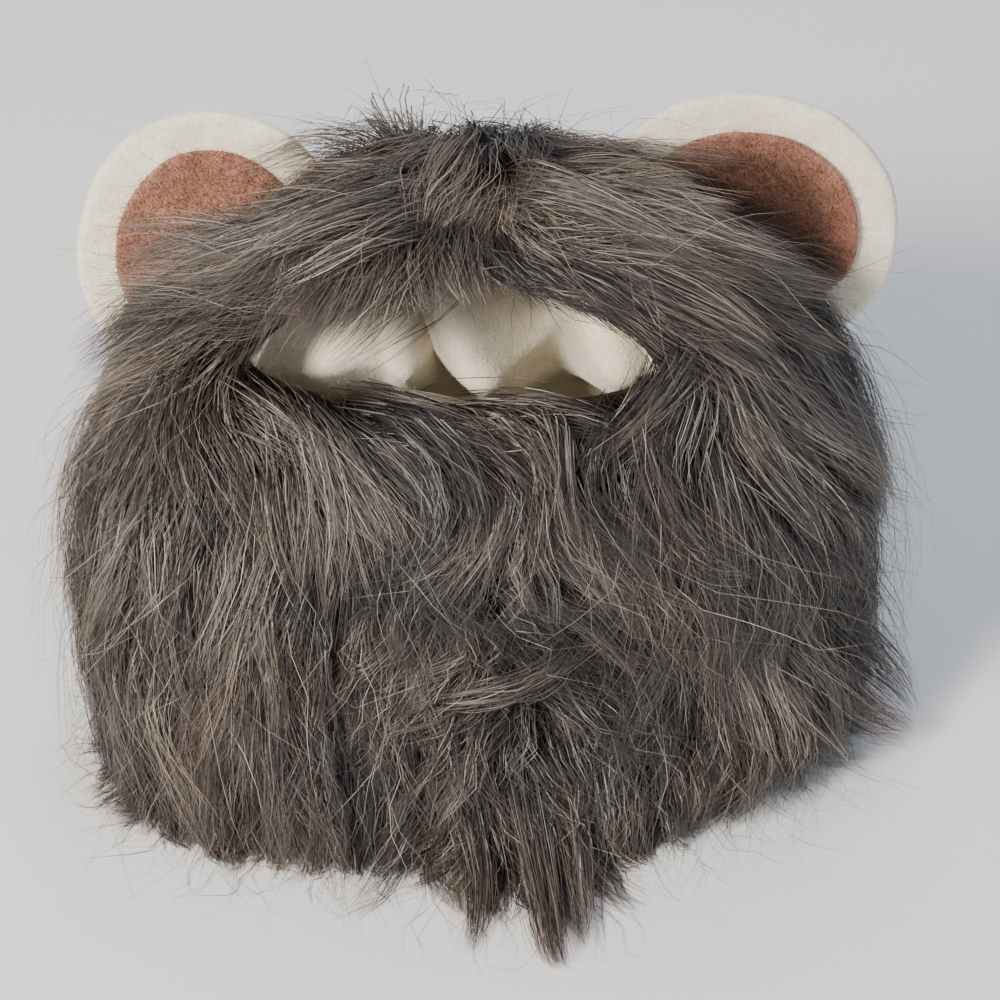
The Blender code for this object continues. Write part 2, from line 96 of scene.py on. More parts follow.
def smooth_table(rows: Sequence[Sequence[float]], samples: int = 700) -> Array:
    """Rows on a smooth curve.

    Args:
        rows: numbers whose first column rises from row to row.
        samples: how many rows to read off the curve.

    Returns:
        The rows of the curve, evenly spaced in the first column.
    """
    table = np.array(rows, float)
    keys = table[:, 0]
    at = np.linspace(keys[0], keys[-1], samples)
    row = np.clip(np.searchsorted(keys, at, side="right") - 1, 0, len(keys) - 2)
    low, high = table[row], table[row + 1]
    before, after = table[np.maximum(row - 1, 0)], table[np.minimum(row + 2, len(keys) - 1)]
    span = high[:, :1] - low[:, :1]
    way = (at[:, None] - low[:, :1]) / span
    slope_low = (high - before) / (high[:, :1] - before[:, :1]) * span
    slope_high = (after - low) / (after[:, :1] - low[:, :1]) * span
    cube, square = way**3, way**2
    made = (2 * cube - 3 * square + 1) * low + (cube - 2 * square + way) * slope_low
    made += (3 * square - 2 * cube) * high + (cube - square) * slope_high
    made[:, 0] = at
    return made


def waves(points: Array, reach: float, seed: int, count: int = 7) -> Array:
    """Smooth noise of about -1 to 1, from a few crossed waves.

    Args:
        points: places, in millimetres.
        reach: the size of a swell, in millimetres.
        seed: picks the waves.
        count: how many waves are crossed.

    Returns:
        One value a place.
    """
    rng = np.random.default_rng(seed)
    ways = unit(rng.normal(size=(count, 3))) * rng.uniform(0.6, 1.7, (count, 1))
    phases = rng.uniform(0, 2 * math.pi, count)
    return np.sin(points @ ways.T * (2 * math.pi / reach / 1.6) + phases).sum(1) / math.sqrt(count)


# the darkest and the lightest colour of a fabric
FLEECE = (linear(218, 206, 180), linear(248, 240, 222))
RUST = (linear(140, 98, 80), linear(184, 134, 112))
TAPE = (linear(60, 55, 52), linear(86, 80, 76))
# how far out the painted shade of a hollow begins to fade, and where it is gone, as shares of its reach
HOLLOW_EDGE = (0.62, 1.0)


@dataclass
class Hood:
    """The hood's backing: an oval at each share of its height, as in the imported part."""

    sections: tuple = (
        # share, height, half width, front, back, rounding, skew
        (0.00, 0.0, 90.0, -56.0, 42.0, 0.78, 0.13),
        (0.14, 23.0, 94.0, -51.0, 44.0, 0.79, 0.12),
        (0.28, 46.0, 95.0, -44.5, 46.0, 0.81, 0.10),
        (0.42, 69.0, 94.5, -37.0, 48.0, 0.85, 0.07),
        (0.56, 91.0, 92.0, -29.0, 50.0, 0.90, 0.03),
        (0.66, 107.0, 87.0, -22.0, 51.0, 0.95, 0.0),
        (0.75, 121.0, 79.0, -14.0, 52.0, 1.0, 0.0),
        (0.84, 135.0, 64.0, -4.0, 52.5, 1.0, 0.0),
        (0.91, 146.0, 46.0, 8.0, 52.0, 1.0, 0.0),
        (0.96, 152.5, 33.0, 18.0, 49.0, 1.0, 0.0),
        (1.00, 155.5, 19.0, 27.0, 44.0, 1.0, 0.0),
    )
    # angle, pile below the opening, pile on the crown, lift of the hem's tips
    piles: tuple = (
        (-180.0, 11.0, 10.0, 0.0),
        (-120.0, 12.0, 9.0, 1.0),
        (-80.0, 15.0, 9.0, 2.0),
        (-45.0, 16.0, 14.0, 2.0),
        (-24.0, 15.0, 20.0, 6.0),
        (-6.0, 17.0, 17.0, 2.0),
        (12.0, 18.0, 20.0, 0.0),
        (30.0, 17.0, 18.0, 4.0),
        (55.0, 17.0, 14.0, 4.0),
        (90.0, 15.0, 9.0, 2.0),
        (130.0, 12.0, 9.0, 1.0),
        (180.0, 11.0, 10.0, 0.0),
    )
    tuft_angle: float = 4.0
    tuft_reach: float = 9.0
    tuft_length: float = 34.0
    tuft_share: float = 0.16
    # angle, share, reach in angle, reach in share, depth of each swell or hollow
    folds: tuple = (
        (-58.0, 0.42, 22.0, 0.26, 6.0),
        (-90.0, 0.42, 22.0, 0.20, 4.0),
        (-84.0, 0.66, 18.0, 0.10, -9.0),
        (2.0, 0.30, 17.0, 0.10, -7.0),
        (2.0, 0.52, 20.0, 0.11, 6.0),
        (38.0, 0.08, 26.0, 0.09, 7.0),
        (40.0, 0.25, 26.0, 0.07, -7.0),
        (58.0, 0.48, 24.0, 0.16, 7.0),
        (180.0, 0.45, 40.0, 0.16, -4.0),
    )
    folds_end: tuple = (0.62, 0.72)
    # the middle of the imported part's footprint
    footprint_middle: tuple = (1.28, -18.887, 0.0)
    crown_rise: float = 1.5
    cap_span: float = 0.2
    raise_angle: float = 52.0
    raise_reach: float = 24.0
    raise_height: float = 8.0
    raise_share: float = 0.25
    seam_angle: float = -24.0
    seam_slant: float = 8.0
    opening_middle: float = -6.0
    opening_half: float = 42.0
    corner_share: float = 0.735
    sill_share: float = 0.705
    lintel_share: float = 0.885
    lap_lift: float = 4.7
    lift_from: float = 11.0
    lift_to: float = 18.0
    seam_reach: float = 14.0
    # the shares between which the pile of the sides gives way to the crown's
    crown_blend: tuple = (0.70, 0.84)
    least_pile: float = 5.0
    # the step that slopes are measured over, and the last share that has one
    nudge: float = 0.01
    last_share: float = 1.19

    def __post_init__(self) -> None:
        """Reads the tables onto smooth curves."""
        self.section_curve = smooth_table(self.sections)
        self.pile_curve = smooth_table(self.piles)
        top = self.sections[-1]
        self.cap_middle = np.array([0.0, (top[3] + top[4]) / 2, top[1] + self.crown_rise])

    def place(self, points: Array) -> Array:
        """Millimetres of the hood as metres of the part's frame."""
        return (points - np.array(self.footprint_middle)) * MM

    def read(self, curve: Array, value: Array, column: int) -> Array:
        """A column of a curve at a value of its first column."""
        return np.interp(value, curve[:, 0], curve[:, column])

    def at(self, angle: Array, share: Array) -> Array:
        """Points of the backing: angle 0 is the front, 90 the right side.

        Args:
            angle: degrees round the hood.
            share: 0 at the hem, 1 at the rim of the crown's cap, 1.2 at its middle.

        Returns:
            The points, in millimetres.
        """
        inside = np.clip(share, 0.0, 1.0)
        height, half, front, back, rounding, skew = (
            self.read(self.section_curve, inside, column) for column in range(1, 7)
        )
        turn = np.radians(angle)
        across, along = np.sin(turn), -np.cos(turn)
        x = half * np.sign(across) * np.abs(across) ** rounding
        y = (front + back) / 2 + (back - front) / 2 * np.sign(along) * np.abs(along) ** rounding
        near = np.exp(-((turned(angle - self.raise_angle) / self.raise_reach) ** 2))
        raised = self.raise_height * near * (1 - smooth_step(0, self.raise_share, inside))
        points = np.stack([x, y + skew * x, height + raised], -1)
        cap = np.clip((share - 1.0) / self.cap_span, 0.0, 1.0)[..., None]
        return mix(points, self.cap_middle, cap)

    def basis(self, angle: Array, share: Array) -> tuple[Array, Array, Array, Array]:
        """The backing at places: its points, its ways along angle and share, its normals.

        Args:
            angle: degrees round the hood.
            share: shares of the height, as in at.

        Returns:
            Points, millimetres a degree, millimetres a share, and unit normals.
        """
        inside = np.clip(share, 0.0, self.last_share)
        low, high = np.maximum(inside - self.nudge, 0.0), inside + self.nudge
        per_angle = (self.at(angle + 1, inside) - self.at(angle - 1, inside)) / 2
        per_share = self.at(angle, high) - self.at(angle, low)
        per_share = per_share / (high - low)[..., None]
        return self.at(angle, inside), per_angle, per_share, unit(np.cross(per_angle, per_share))

    def column_angle(self, angle: Array, share: Array) -> Array:
        """The angle of a column, which slants with the seam under the opening."""
        near = np.exp(-((turned(angle - self.seam_angle) / self.seam_reach) ** 2))
        return angle + self.seam_slant * near * np.maximum(1 - share / self.sill_share, 0.0)

    def edge(self, angle: Array, middle_share: float) -> Array:
        """The share at one edge of the face opening.

        Args:
            angle: degrees round the hood.
            middle_share: the share of that edge at the opening's middle.

        Returns:
            The edge's share, or the corners' share beyond the opening's ends.
        """
        across = turned(angle - self.opening_middle) / self.opening_half
        bow = np.sqrt(np.clip(1 - across**2, 0.0, 1.0))
        return mix(self.corner_share, middle_share, bow)

    def in_opening(self, angle: Array, share: Array) -> Array:
        """Whether places lie in the face opening.

        Args:
            angle: degrees round the hood.
            share: shares of the height.

        Returns:
            A mask of the places.
        """
        within = np.abs(turned(angle - self.opening_middle)) < self.opening_half
        above = share > self.edge(angle, self.sill_share)
        return within & above & (share < self.edge(angle, self.lintel_share))

    def depth(self, angle: Array, share: Array) -> Array:
        """How far the fur stands out of the backing, with its swells and hollows.

        Args:
            angle: degrees round the hood.
            share: shares of the height.

        Returns:
            The pile's depth, in millimetres.
        """
        around = turned(angle)
        low = self.read(self.pile_curve, around, 1)
        crown = self.read(self.pile_curve, around, 2)
        pile = mix(low, crown, smooth_step(*self.crown_blend, share))
        swell = np.zeros_like(pile)
        for at_angle, at_share, angle_reach, share_reach, depth in self.folds:
            across = turned(angle - at_angle) / angle_reach
            along = (share - at_share) / share_reach
            swell += depth * np.exp(-across * across - along * along)
        swell = swell * (1 - smooth_step(*self.folds_end, share))
        return np.maximum(pile + swell, self.least_pile)

    def tuft(self, angle: Array, share: Array) -> Array:
        """How far the bib's pointed tuft draws the fur forward."""
        across = turned(angle - self.tuft_angle) / self.tuft_reach
        return self.tuft_length * np.exp(-across * across) * (1 - smooth_step(0, self.tuft_share, share))

    def seam_side(self, angle: Array, share: Array) -> Array:
        """Degrees from the slanted seam: negative on the lapping end, at its left."""
        here = self.column_angle(np.full_like(angle, self.seam_angle), np.clip(share, 0, 1))
        return turned(angle - here)

    def lift(self, angle: Array, share: Array) -> Array:
        """How far the lapping end rides over the other end.

        Args:
            angle: degrees round the hood.
            share: shares of the height.

        Returns:
            The rise off the hood, in millimetres.
        """
        before = -self.seam_side(angle, share)
        raised = self.lap_lift * (1 - smooth_step(self.lift_from, self.lift_to, before))
        below = share < self.edge(angle, self.sill_share) + self.nudge
        return np.where((before > 0) & below, raised, 0.0)

    def push_out(self, points: Array, margin: Array) -> Array:
        """Points moved out of the hood's body where they are in it.

        Args:
            points: places, in millimetres.
            margin: how far off the body they have to stay.

        Returns:
            The places, moved level or up, whichever way out is shorter.
        """
        curve = self.section_curve
        share = np.interp(points[..., 2], curve[:, 1], curve[:, 0])
        half, front, back, rounding, skew = (self.read(curve, share, c) for c in range(2, 7))
        middle, deep = (front + back) / 2, (back - front) / 2
        along = points[..., 1] - skew * points[..., 0] - middle
        across = points[..., 0]
        ratio = np.abs(across / (half + margin)) ** (2 / rounding)
        ratio = ratio + np.abs(along / (deep + margin)) ** (2 / rounding)
        ratio = np.maximum(ratio, 1e-6) ** (rounding / 2)
        top = self.cap_middle[2] + margin - points[..., 2]
        level = (1 - ratio) * np.minimum(half, deep)
        inside = (ratio < 1) & (top > 0)
        sideways = inside & (level <= top)
        grow = np.where(sideways, 1 / ratio, 1.0)
        moved = points.copy()
        moved[..., 0] = across * grow
        moved[..., 1] = middle + along * grow + skew * moved[..., 0]
        moved[..., 2] += np.where(inside & ~sideways, top, 0.0)
        return moved


def shaped(name: str, points: Array) -> bpy.types.Object:
    """Names the primitive just added, and moves its points.

    Args:
        name: the piece's name.
        points: a place in metres for each of its points.

    Returns:
        The piece.
    """
    made = bpy.context.object
    made.name = made.data.name = name
    made.data.vertices.foreach_set("co", points.astype(np.float32).ravel())
    made.data.update()
    return made


def evened() -> None:
    """Welds the active piece's points that lie together, and turns its faces outward."""
    bpy.ops.object.mode_set(mode="EDIT")
    bpy.ops.mesh.select_all(action="SELECT")
    bpy.ops.mesh.remove_doubles(threshold=0.00002)
    bpy.ops.mesh.normals_make_consistent(inside=False)
    bpy.ops.object.mode_set(mode="OBJECT")
    bpy.ops.object.shade_smooth()


def cloth_grid(name: str, rows: Array, hole: Sequence[tuple[int, int]]) -> bpy.types.Object:
    """A grid shaped into cloth, with some of its cells cut out.

    Args:
        name: the piece's name.
        rows: points in metres, by row and column.
        hole: the row and column of each cell that is cut out.

    Returns:
        The cloth, one face thick.
    """
    high, wide = len(rows) - 1, len(rows[0]) - 1
    bpy.ops.mesh.primitive_grid_add(x_subdivisions=wide, y_subdivisions=high, size=2.0)
    data = bpy.context.object.data
    flat = np.empty(len(data.vertices) * 3, np.float32)
    data.vertices.foreach_get("co", flat)
    column, row = np.rint((flat.reshape(-1, 3)[:, :2] + 1) / 2 * [wide, high]).astype(int).T
    corners = np.empty(len(data.loops), np.int32)
    data.loops.foreach_get("vertex_index", corners)
    corners = corners.reshape(-1, 4)
    cells = zip(row[corners].min(1).tolist(), column[corners].min(1).tolist())
    cut = set(hole)
    for group in (data.vertices, data.edges):
        group.foreach_set("select", np.zeros(len(group), bool))
    data.polygons.foreach_set("select", np.array([cell in cut for cell in cells]))
    made = shaped(name, rows[row, column])
    bpy.context.tool_settings.mesh_select_mode = (False, False, True)
    bpy.ops.object.mode_set(mode="EDIT")
    bpy.ops.mesh.delete(type="FACE")
    bpy.ops.object.mode_set(mode="OBJECT")
    evened()
    return made


def thicken(piece: bpy.types.Object, wall: float, side: float) -> None:
    """Gives cloth its wall.

    Args:
        piece: the cloth, which is the active piece.
        wall: its thickness, in metres.
        side: 1 for outward, -1 for inward.
    """
    thick = piece.modifiers.new("wall", "SOLIDIFY")
    thick.thickness = wall
    thick.offset = side
    bpy.ops.object.modifier_apply(modifier=thick.name)


def finished(piece: bpy.types.Object, material: bpy.types.Material,
             nodes: Sequence[str] = ()) -> bpy.types.Object:
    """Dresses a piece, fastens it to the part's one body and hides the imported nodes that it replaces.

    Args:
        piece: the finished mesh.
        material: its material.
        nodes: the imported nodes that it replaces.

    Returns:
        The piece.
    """
    piece.data.materials.clear()
    piece.data.materials.append(material)
    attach(piece, "root")
    if nodes:
        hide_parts(*nodes)
    triangles = len(piece.data.loops) - 2 * len(piece.data.polygons)
    LOG.info("%s: %d triangles", piece.name, triangles)
    return piece


class Swell(Enum):
    """The smooth noises that the pile varies by: the size of a swell in millimetres, and its seed."""

    LEAN_WIDE = (24.0, 11)
    LEAN_FINE = (10.0, 12)
    LENGTH = (26.0, 13)
    LAYER = (10.0, 14)
    TIP = (12.0, 15)
    SHADE = (30.0, 21)
    WARMTH = (45.0, 23)

    def at(self, points: Array) -> Array:
        """The noise at places in millimetres, about -1 to 1."""
        return waves(points, *self.value)


class Slot(Enum):
    """The record's material slots."""

    FUR = "faux_fur"
    FLEECE = "cream_fleece"
    NAP = "rust_nap_fabric"
    TAPE = "hook_and_loop_tape"


class Region(Enum):
    """Where strands grow, one joined piece each."""

    CROWN = "crown_fur"
    BROW = "brow_fur"
    LEFT_CHEEK = "left_cheek_fur"
    BIB = "bib_fur"
    RIGHT_CHEEK = "right_cheek_fur"
    BACK = "back_fur"


@dataclass(frozen=True)
class NodeWork:
    """A material's node tree, and the few kinds of node that the finishes share."""

    material: bpy.types.Material

    @classmethod
    def start(cls, name: str) -> "NodeWork":
        """A new material with its principled shader.

        Args:
            name: the material's name.

        Returns:
            The work on its node tree.
        """
        material = bpy.data.materials.new(name)
        material.use_nodes = True
        return cls(material)

    @property
    def shader(self) -> bpy.types.Node:
        """The principled shader."""
        return self.material.node_tree.nodes["Principled BSDF"]

    def node(self, kind: str, **values: object) -> bpy.types.Node:
        """A new node.

        Args:
            kind: the kind of node.
            values: its settings, and the values of its sockets.

        Returns:
            The node.
        """
        made = self.material.node_tree.nodes.new(kind)
        for name, value in values.items():
            if hasattr(made, name):
                setattr(made, name, value)
            else:
                made.inputs[name.replace("_", " ")].default_value = value
        return made

    def join(self, source: bpy.types.NodeSocket, target: bpy.types.NodeSocket) -> None:
        """A link between two sockets."""
        self.material.node_tree.links.new(source, target)

    def noise(self, scale: float, detail: float = 4.0, roughness: float = 0.6) -> bpy.types.NodeSocket:
        """Noise on the object's own coordinates.

        Args:
            scale: how many swells there are to a metre.
            detail: how many finer noises lie over it.
            roughness: how strong those are.

        Returns:
            The noise, from 0 to 1.
        """
        place = self.node("ShaderNodeTexCoord").outputs["Object"]
        made = self.node("ShaderNodeTexNoise", Scale=scale, Detail=detail, Roughness=roughness)
        self.join(place, made.inputs["Vector"])
        return made.outputs["Fac"]

    def blend(self, share: bpy.types.NodeSocket, low: tuple, high: tuple,
              start: float = 0.35, end: float = 0.65) -> bpy.types.NodeSocket:
        """A colour between two.

        Args:
            share: what picks the colour.
            low: the colour up to the start.
            high: the colour from the end on.
            start: the share where the colour begins to change.
            end: the share where it is wholly the second one.

        Returns:
            The colour.
        """
        ramp = self.node("ShaderNodeValToRGB")
        ramp.color_ramp.elements[0].position = start
        ramp.color_ramp.elements[0].color = (*low, 1.0)
        ramp.color_ramp.elements[1].position = end
        ramp.color_ramp.elements[1].color = (*high, 1.0)
        self.join(share, ramp.inputs["Fac"])
        return ramp.outputs["Color"]

    def bump(self, height: bpy.types.NodeSocket, distance: float, strength: float,
             under: bpy.types.NodeSocket | None = None) -> bpy.types.NodeSocket:
        """A bump on the surface.

        Args:
            height: where the surface stands up.
            distance: how far, in metres.
            strength: how strongly it shows.
            under: a bump that it lies over, if there is one.

        Returns:
            The bumped normal.
        """
        made = self.node("ShaderNodeBump", Distance=distance, Strength=strength)
        self.join(height, made.inputs["Height"])
        if under is not None:
            self.join(under, made.inputs["Normal"])
        return made.outputs["Normal"]


@dataclass(frozen=True)
class FurFinish:
    """Strands of acrylic pile: each has its own tint, darker at the root."""

    name: str = "pile strands"
    roughness: float = 0.42
    gloss: float = 0.45

    def made(self) -> bpy.types.Material:
        """Builds the material, which reads the strands' own tint.

        Returns:
            The material.
        """
        work = NodeWork.start(self.name)
        tint = work.node("ShaderNodeAttribute", attribute_name="tint")
        work.join(tint.outputs["Color"], work.shader.inputs["Base Color"])
        work.shader.inputs["Roughness"].default_value = self.roughness
        work.shader.inputs["Specular IOR Level"].default_value = self.gloss
        return work.material


@dataclass(frozen=True)
class FibreFinish(FurFinish):
    """The short dull fibres of a brushed fabric, which have their own tints too."""

    roughness: float = 0.8
    gloss: float = 0.15


@dataclass(frozen=True)
class KnitFinish:
    """The knitted backing that the pile grows out of, and the short wool at its roots."""

    name: str = "knit backing"
    dark: tuple = linear(30, 25, 22)
    light: tuple = linear(62, 53, 46)

    def made(self) -> bpy.types.Material:
        """Builds the material.

        Returns:
            The material.
        """
        work = NodeWork.start(self.name)
        wool = work.noise(260.0, 6.0, 0.7)
        work.join(work.blend(wool, self.dark, self.light), work.shader.inputs["Base Color"])
        work.shader.inputs["Roughness"].default_value = 0.95
        work.shader.inputs["Specular IOR Level"].default_value = 0.1
        work.join(work.bump(work.noise(900.0, 3.0), 0.001, 0.9), work.shader.inputs["Normal"])
        return work.material


@dataclass(frozen=True)
class NappedFinish:
    """A brushed fabric: mottled colour, fine nap and small pills."""

    name: str
    dark: tuple
    light: tuple
    grain: float = 1100.0
    pill: float = 320.0
    depth: float = 0.0007
    sheen: float = 0.35
    # a hollow's centre and reach in metres, and the colour that its painted shade multiplies by
    hollow: tuple = ()
    hollow_shade: tuple = (0.30, 0.26, 0.25)

    def made(self) -> bpy.types.Material:
        """Builds the material, with painted shade darkening it within its hollow where it has one.

        Returns:
            The material.
        """
        work = NodeWork.start(self.name)
        mottle = work.noise(95.0, 8.0, 0.7)
        colour = work.blend(mottle, self.dark, self.light, 0.3, 0.7)
        # painted shade within the hollow, fading out towards its rim
        if self.hollow:
            place = work.node("ShaderNodeTexCoord").outputs["Object"]
            apart = work.node("ShaderNodeVectorMath", operation="DISTANCE")
            work.join(place, apart.inputs[0])
            apart.inputs[1].default_value = self.hollow[:3]
            share = work.node("ShaderNodeMath", operation="DIVIDE")
            work.join(apart.outputs["Value"], share.inputs[0])
            share.inputs[1].default_value = self.hollow[3]
            painted_shade = work.blend(share.outputs["Value"], self.hollow_shade, (1.0, 1.0, 1.0), *HOLLOW_EDGE)
            both = work.node("ShaderNodeMix", data_type="RGBA", blend_type="MULTIPLY")
            both.inputs["Factor"].default_value = 1.0
            work.join(colour, both.inputs[6])
            work.join(painted_shade, both.inputs[7])
            colour = both.outputs[2]
        work.join(colour, work.shader.inputs["Base Color"])
        work.shader.inputs["Roughness"].default_value = 0.95
        work.shader.inputs["Specular IOR Level"].default_value = 0.15
        work.shader.inputs["Sheen Weight"].default_value = self.sheen
        work.shader.inputs["Sheen Roughness"].default_value = 0.5
        pills = work.bump(work.noise(self.pill, 4.0, 0.65), self.depth, 0.6)
        grain = work.bump(work.noise(self.grain, 3.0, 0.6), self.depth * 0.5, 0.7, pills)
        work.join(grain, work.shader.inputs["Normal"])
        return work.material


@dataclass(frozen=True)
class FloorFinish:
    """A plain pale floor."""

    name: str = "pale floor"
    colour: tuple = (0.80, 0.79, 0.78)

    def made(self) -> bpy.types.Material:
        """Builds the material.

        Returns:
            The material.
        """
        work = NodeWork.start(self.name)
        work.shader.inputs["Base Color"].default_value = (*self.colour, 1.0)
        work.shader.inputs["Roughness"].default_value = 0.6
        work.shader.inputs["Specular IOR Level"].default_value = 0.3
        return work.material


@dataclass
class Strands:
    """Many thin tapered ribbons as one mesh."""

    segments: int
    # how late a ribbon thins, and the width that is left before its tip
    thinning: float = 2.2
    thin_end: float = 0.12
    points: list = field(default_factory=list)
    sides: list = field(default_factory=list)
    tints: list = field(default_factory=list)

    def add(self, paths: Array, facing: Array, width: Array, tints: Array) -> None:
        """Adds ribbons.

        Args:
            paths: a row of segments + 1 points each, in metres.
            facing: the way that each ribbon faces, at each of its points.
            width: the width at the root, in metres.
            tints: a colour for each point of each path.
        """
        along = np.gradient(paths, axis=1)
        side = unit(np.cross(along, facing))
        way = np.linspace(0, 1, self.segments + 1)
        taper = np.maximum(1 - way**self.thinning, self.thin_end)
        side = side * (width[:, None] * taper)[..., None] / 2
        ribbon = np.stack([paths - side, paths + side], axis=2)
        body = ribbon[:, :-1].reshape(len(paths), -1, 3)
        self.points.append(np.concatenate([body, paths[:, -1:]], axis=1).reshape(-1, 3))
        colour = np.repeat(tints[:, :-1], 2, axis=1)
        self.tints.append(np.concatenate([colour, tints[:, -1:]], axis=1).reshape(-1, 3))

    def made(self, name: str) -> bpy.types.Object:
        """Joins the strands.

        Args:
            name: the piece's name.

        Returns:
            The joined mesh, with a tint at each of its points.
        """
        points = np.concatenate(self.points).astype(np.float32)
        tints = np.concatenate(self.tints).astype(np.float32)
        each = 2 * self.segments + 1
        count = len(points) // each
        loops, sizes = [], []
        for k in range(self.segments - 1):
            loops += [2 * k, 2 * k + 1, 2 * k + 3, 2 * k + 2]
            sizes.append(4)
        loops += [each - 3, each - 2, each - 1]
        sizes.append(3)
        corners = (np.array(loops)[None, :] + np.arange(count)[:, None] * each).ravel()
        sizes = np.tile(np.array(sizes), count)
        data = bpy.data.meshes.new(name)
        data.vertices.add(len(points))
        data.vertices.foreach_set("co", points.ravel())
        data.loops.add(len(corners))
        data.loops.foreach_set("vertex_index", corners.astype(np.int32))
        data.polygons.add(len(sizes))
        starts = np.concatenate([[0], np.cumsum(sizes)[:-1]])
        data.polygons.foreach_set("loop_start", starts.astype(np.int32))
        data.polygons.foreach_set("use_smooth", np.ones(len(sizes), bool))
        data.update(calc_edges=True)
        tint = data.color_attributes.new("tint", "FLOAT_COLOR", "POINT")
        tint.data.foreach_set("color", np.c_[tints, np.ones(len(tints))].astype(np.float32).ravel())
        made = bpy.data.objects.new(name, data)
        bpy.context.scene.collection.objects.link(made)
        return made


@dataclass
class Growth:
    """The state of many growing paths: where they root and how each one lies."""

    angle: Array
    share: Array
    length: Array
    layer: Array
    lean: Array
    tip: Array
    curl: Array
    phase: Array
    tone: Array

    def picked(self, which: Array) -> "Growth":
        """Some of the paths, by number or by mask."""
        return Growth(*(getattr(self, name)[which] for name in self.__dataclass_fields__))


@dataclass(frozen=True)
class Spot:
    """A place on the hood with a soft edge: its angle and share, and how far it reaches."""

    angle: float
    share: float
    angle_reach: float
    share_reach: float

    def near(self, angle: Array, share: Array) -> Array:
        """How near places are to the spot.

        Args:
            angle: degrees round the hood.
            share: shares of the height.

        Returns:
            1 in the middle of the spot, and less around it.
        """
        across = turned(angle - self.angle) / self.angle_reach
        along = (share - self.share) / self.share_reach
        return np.exp(-across * across - along * along)


@dataclass(frozen=True)
class Comb:
    """How the crown's fur is combed near a place: which way, and how long it is."""

    place: tuple[float, float, float]
    reach: float
    way: tuple[float, float, float]
    length: float


@dataclass(frozen=True)
class Wisp:
    """A lock that stands apart: its angle, share and stand-off at its root, middle and tip."""

    strands: int
    spread: float
    light: float
    root: tuple[float, float, float]
    middle: tuple[float, float, float]
    tip: tuple[float, float, float]


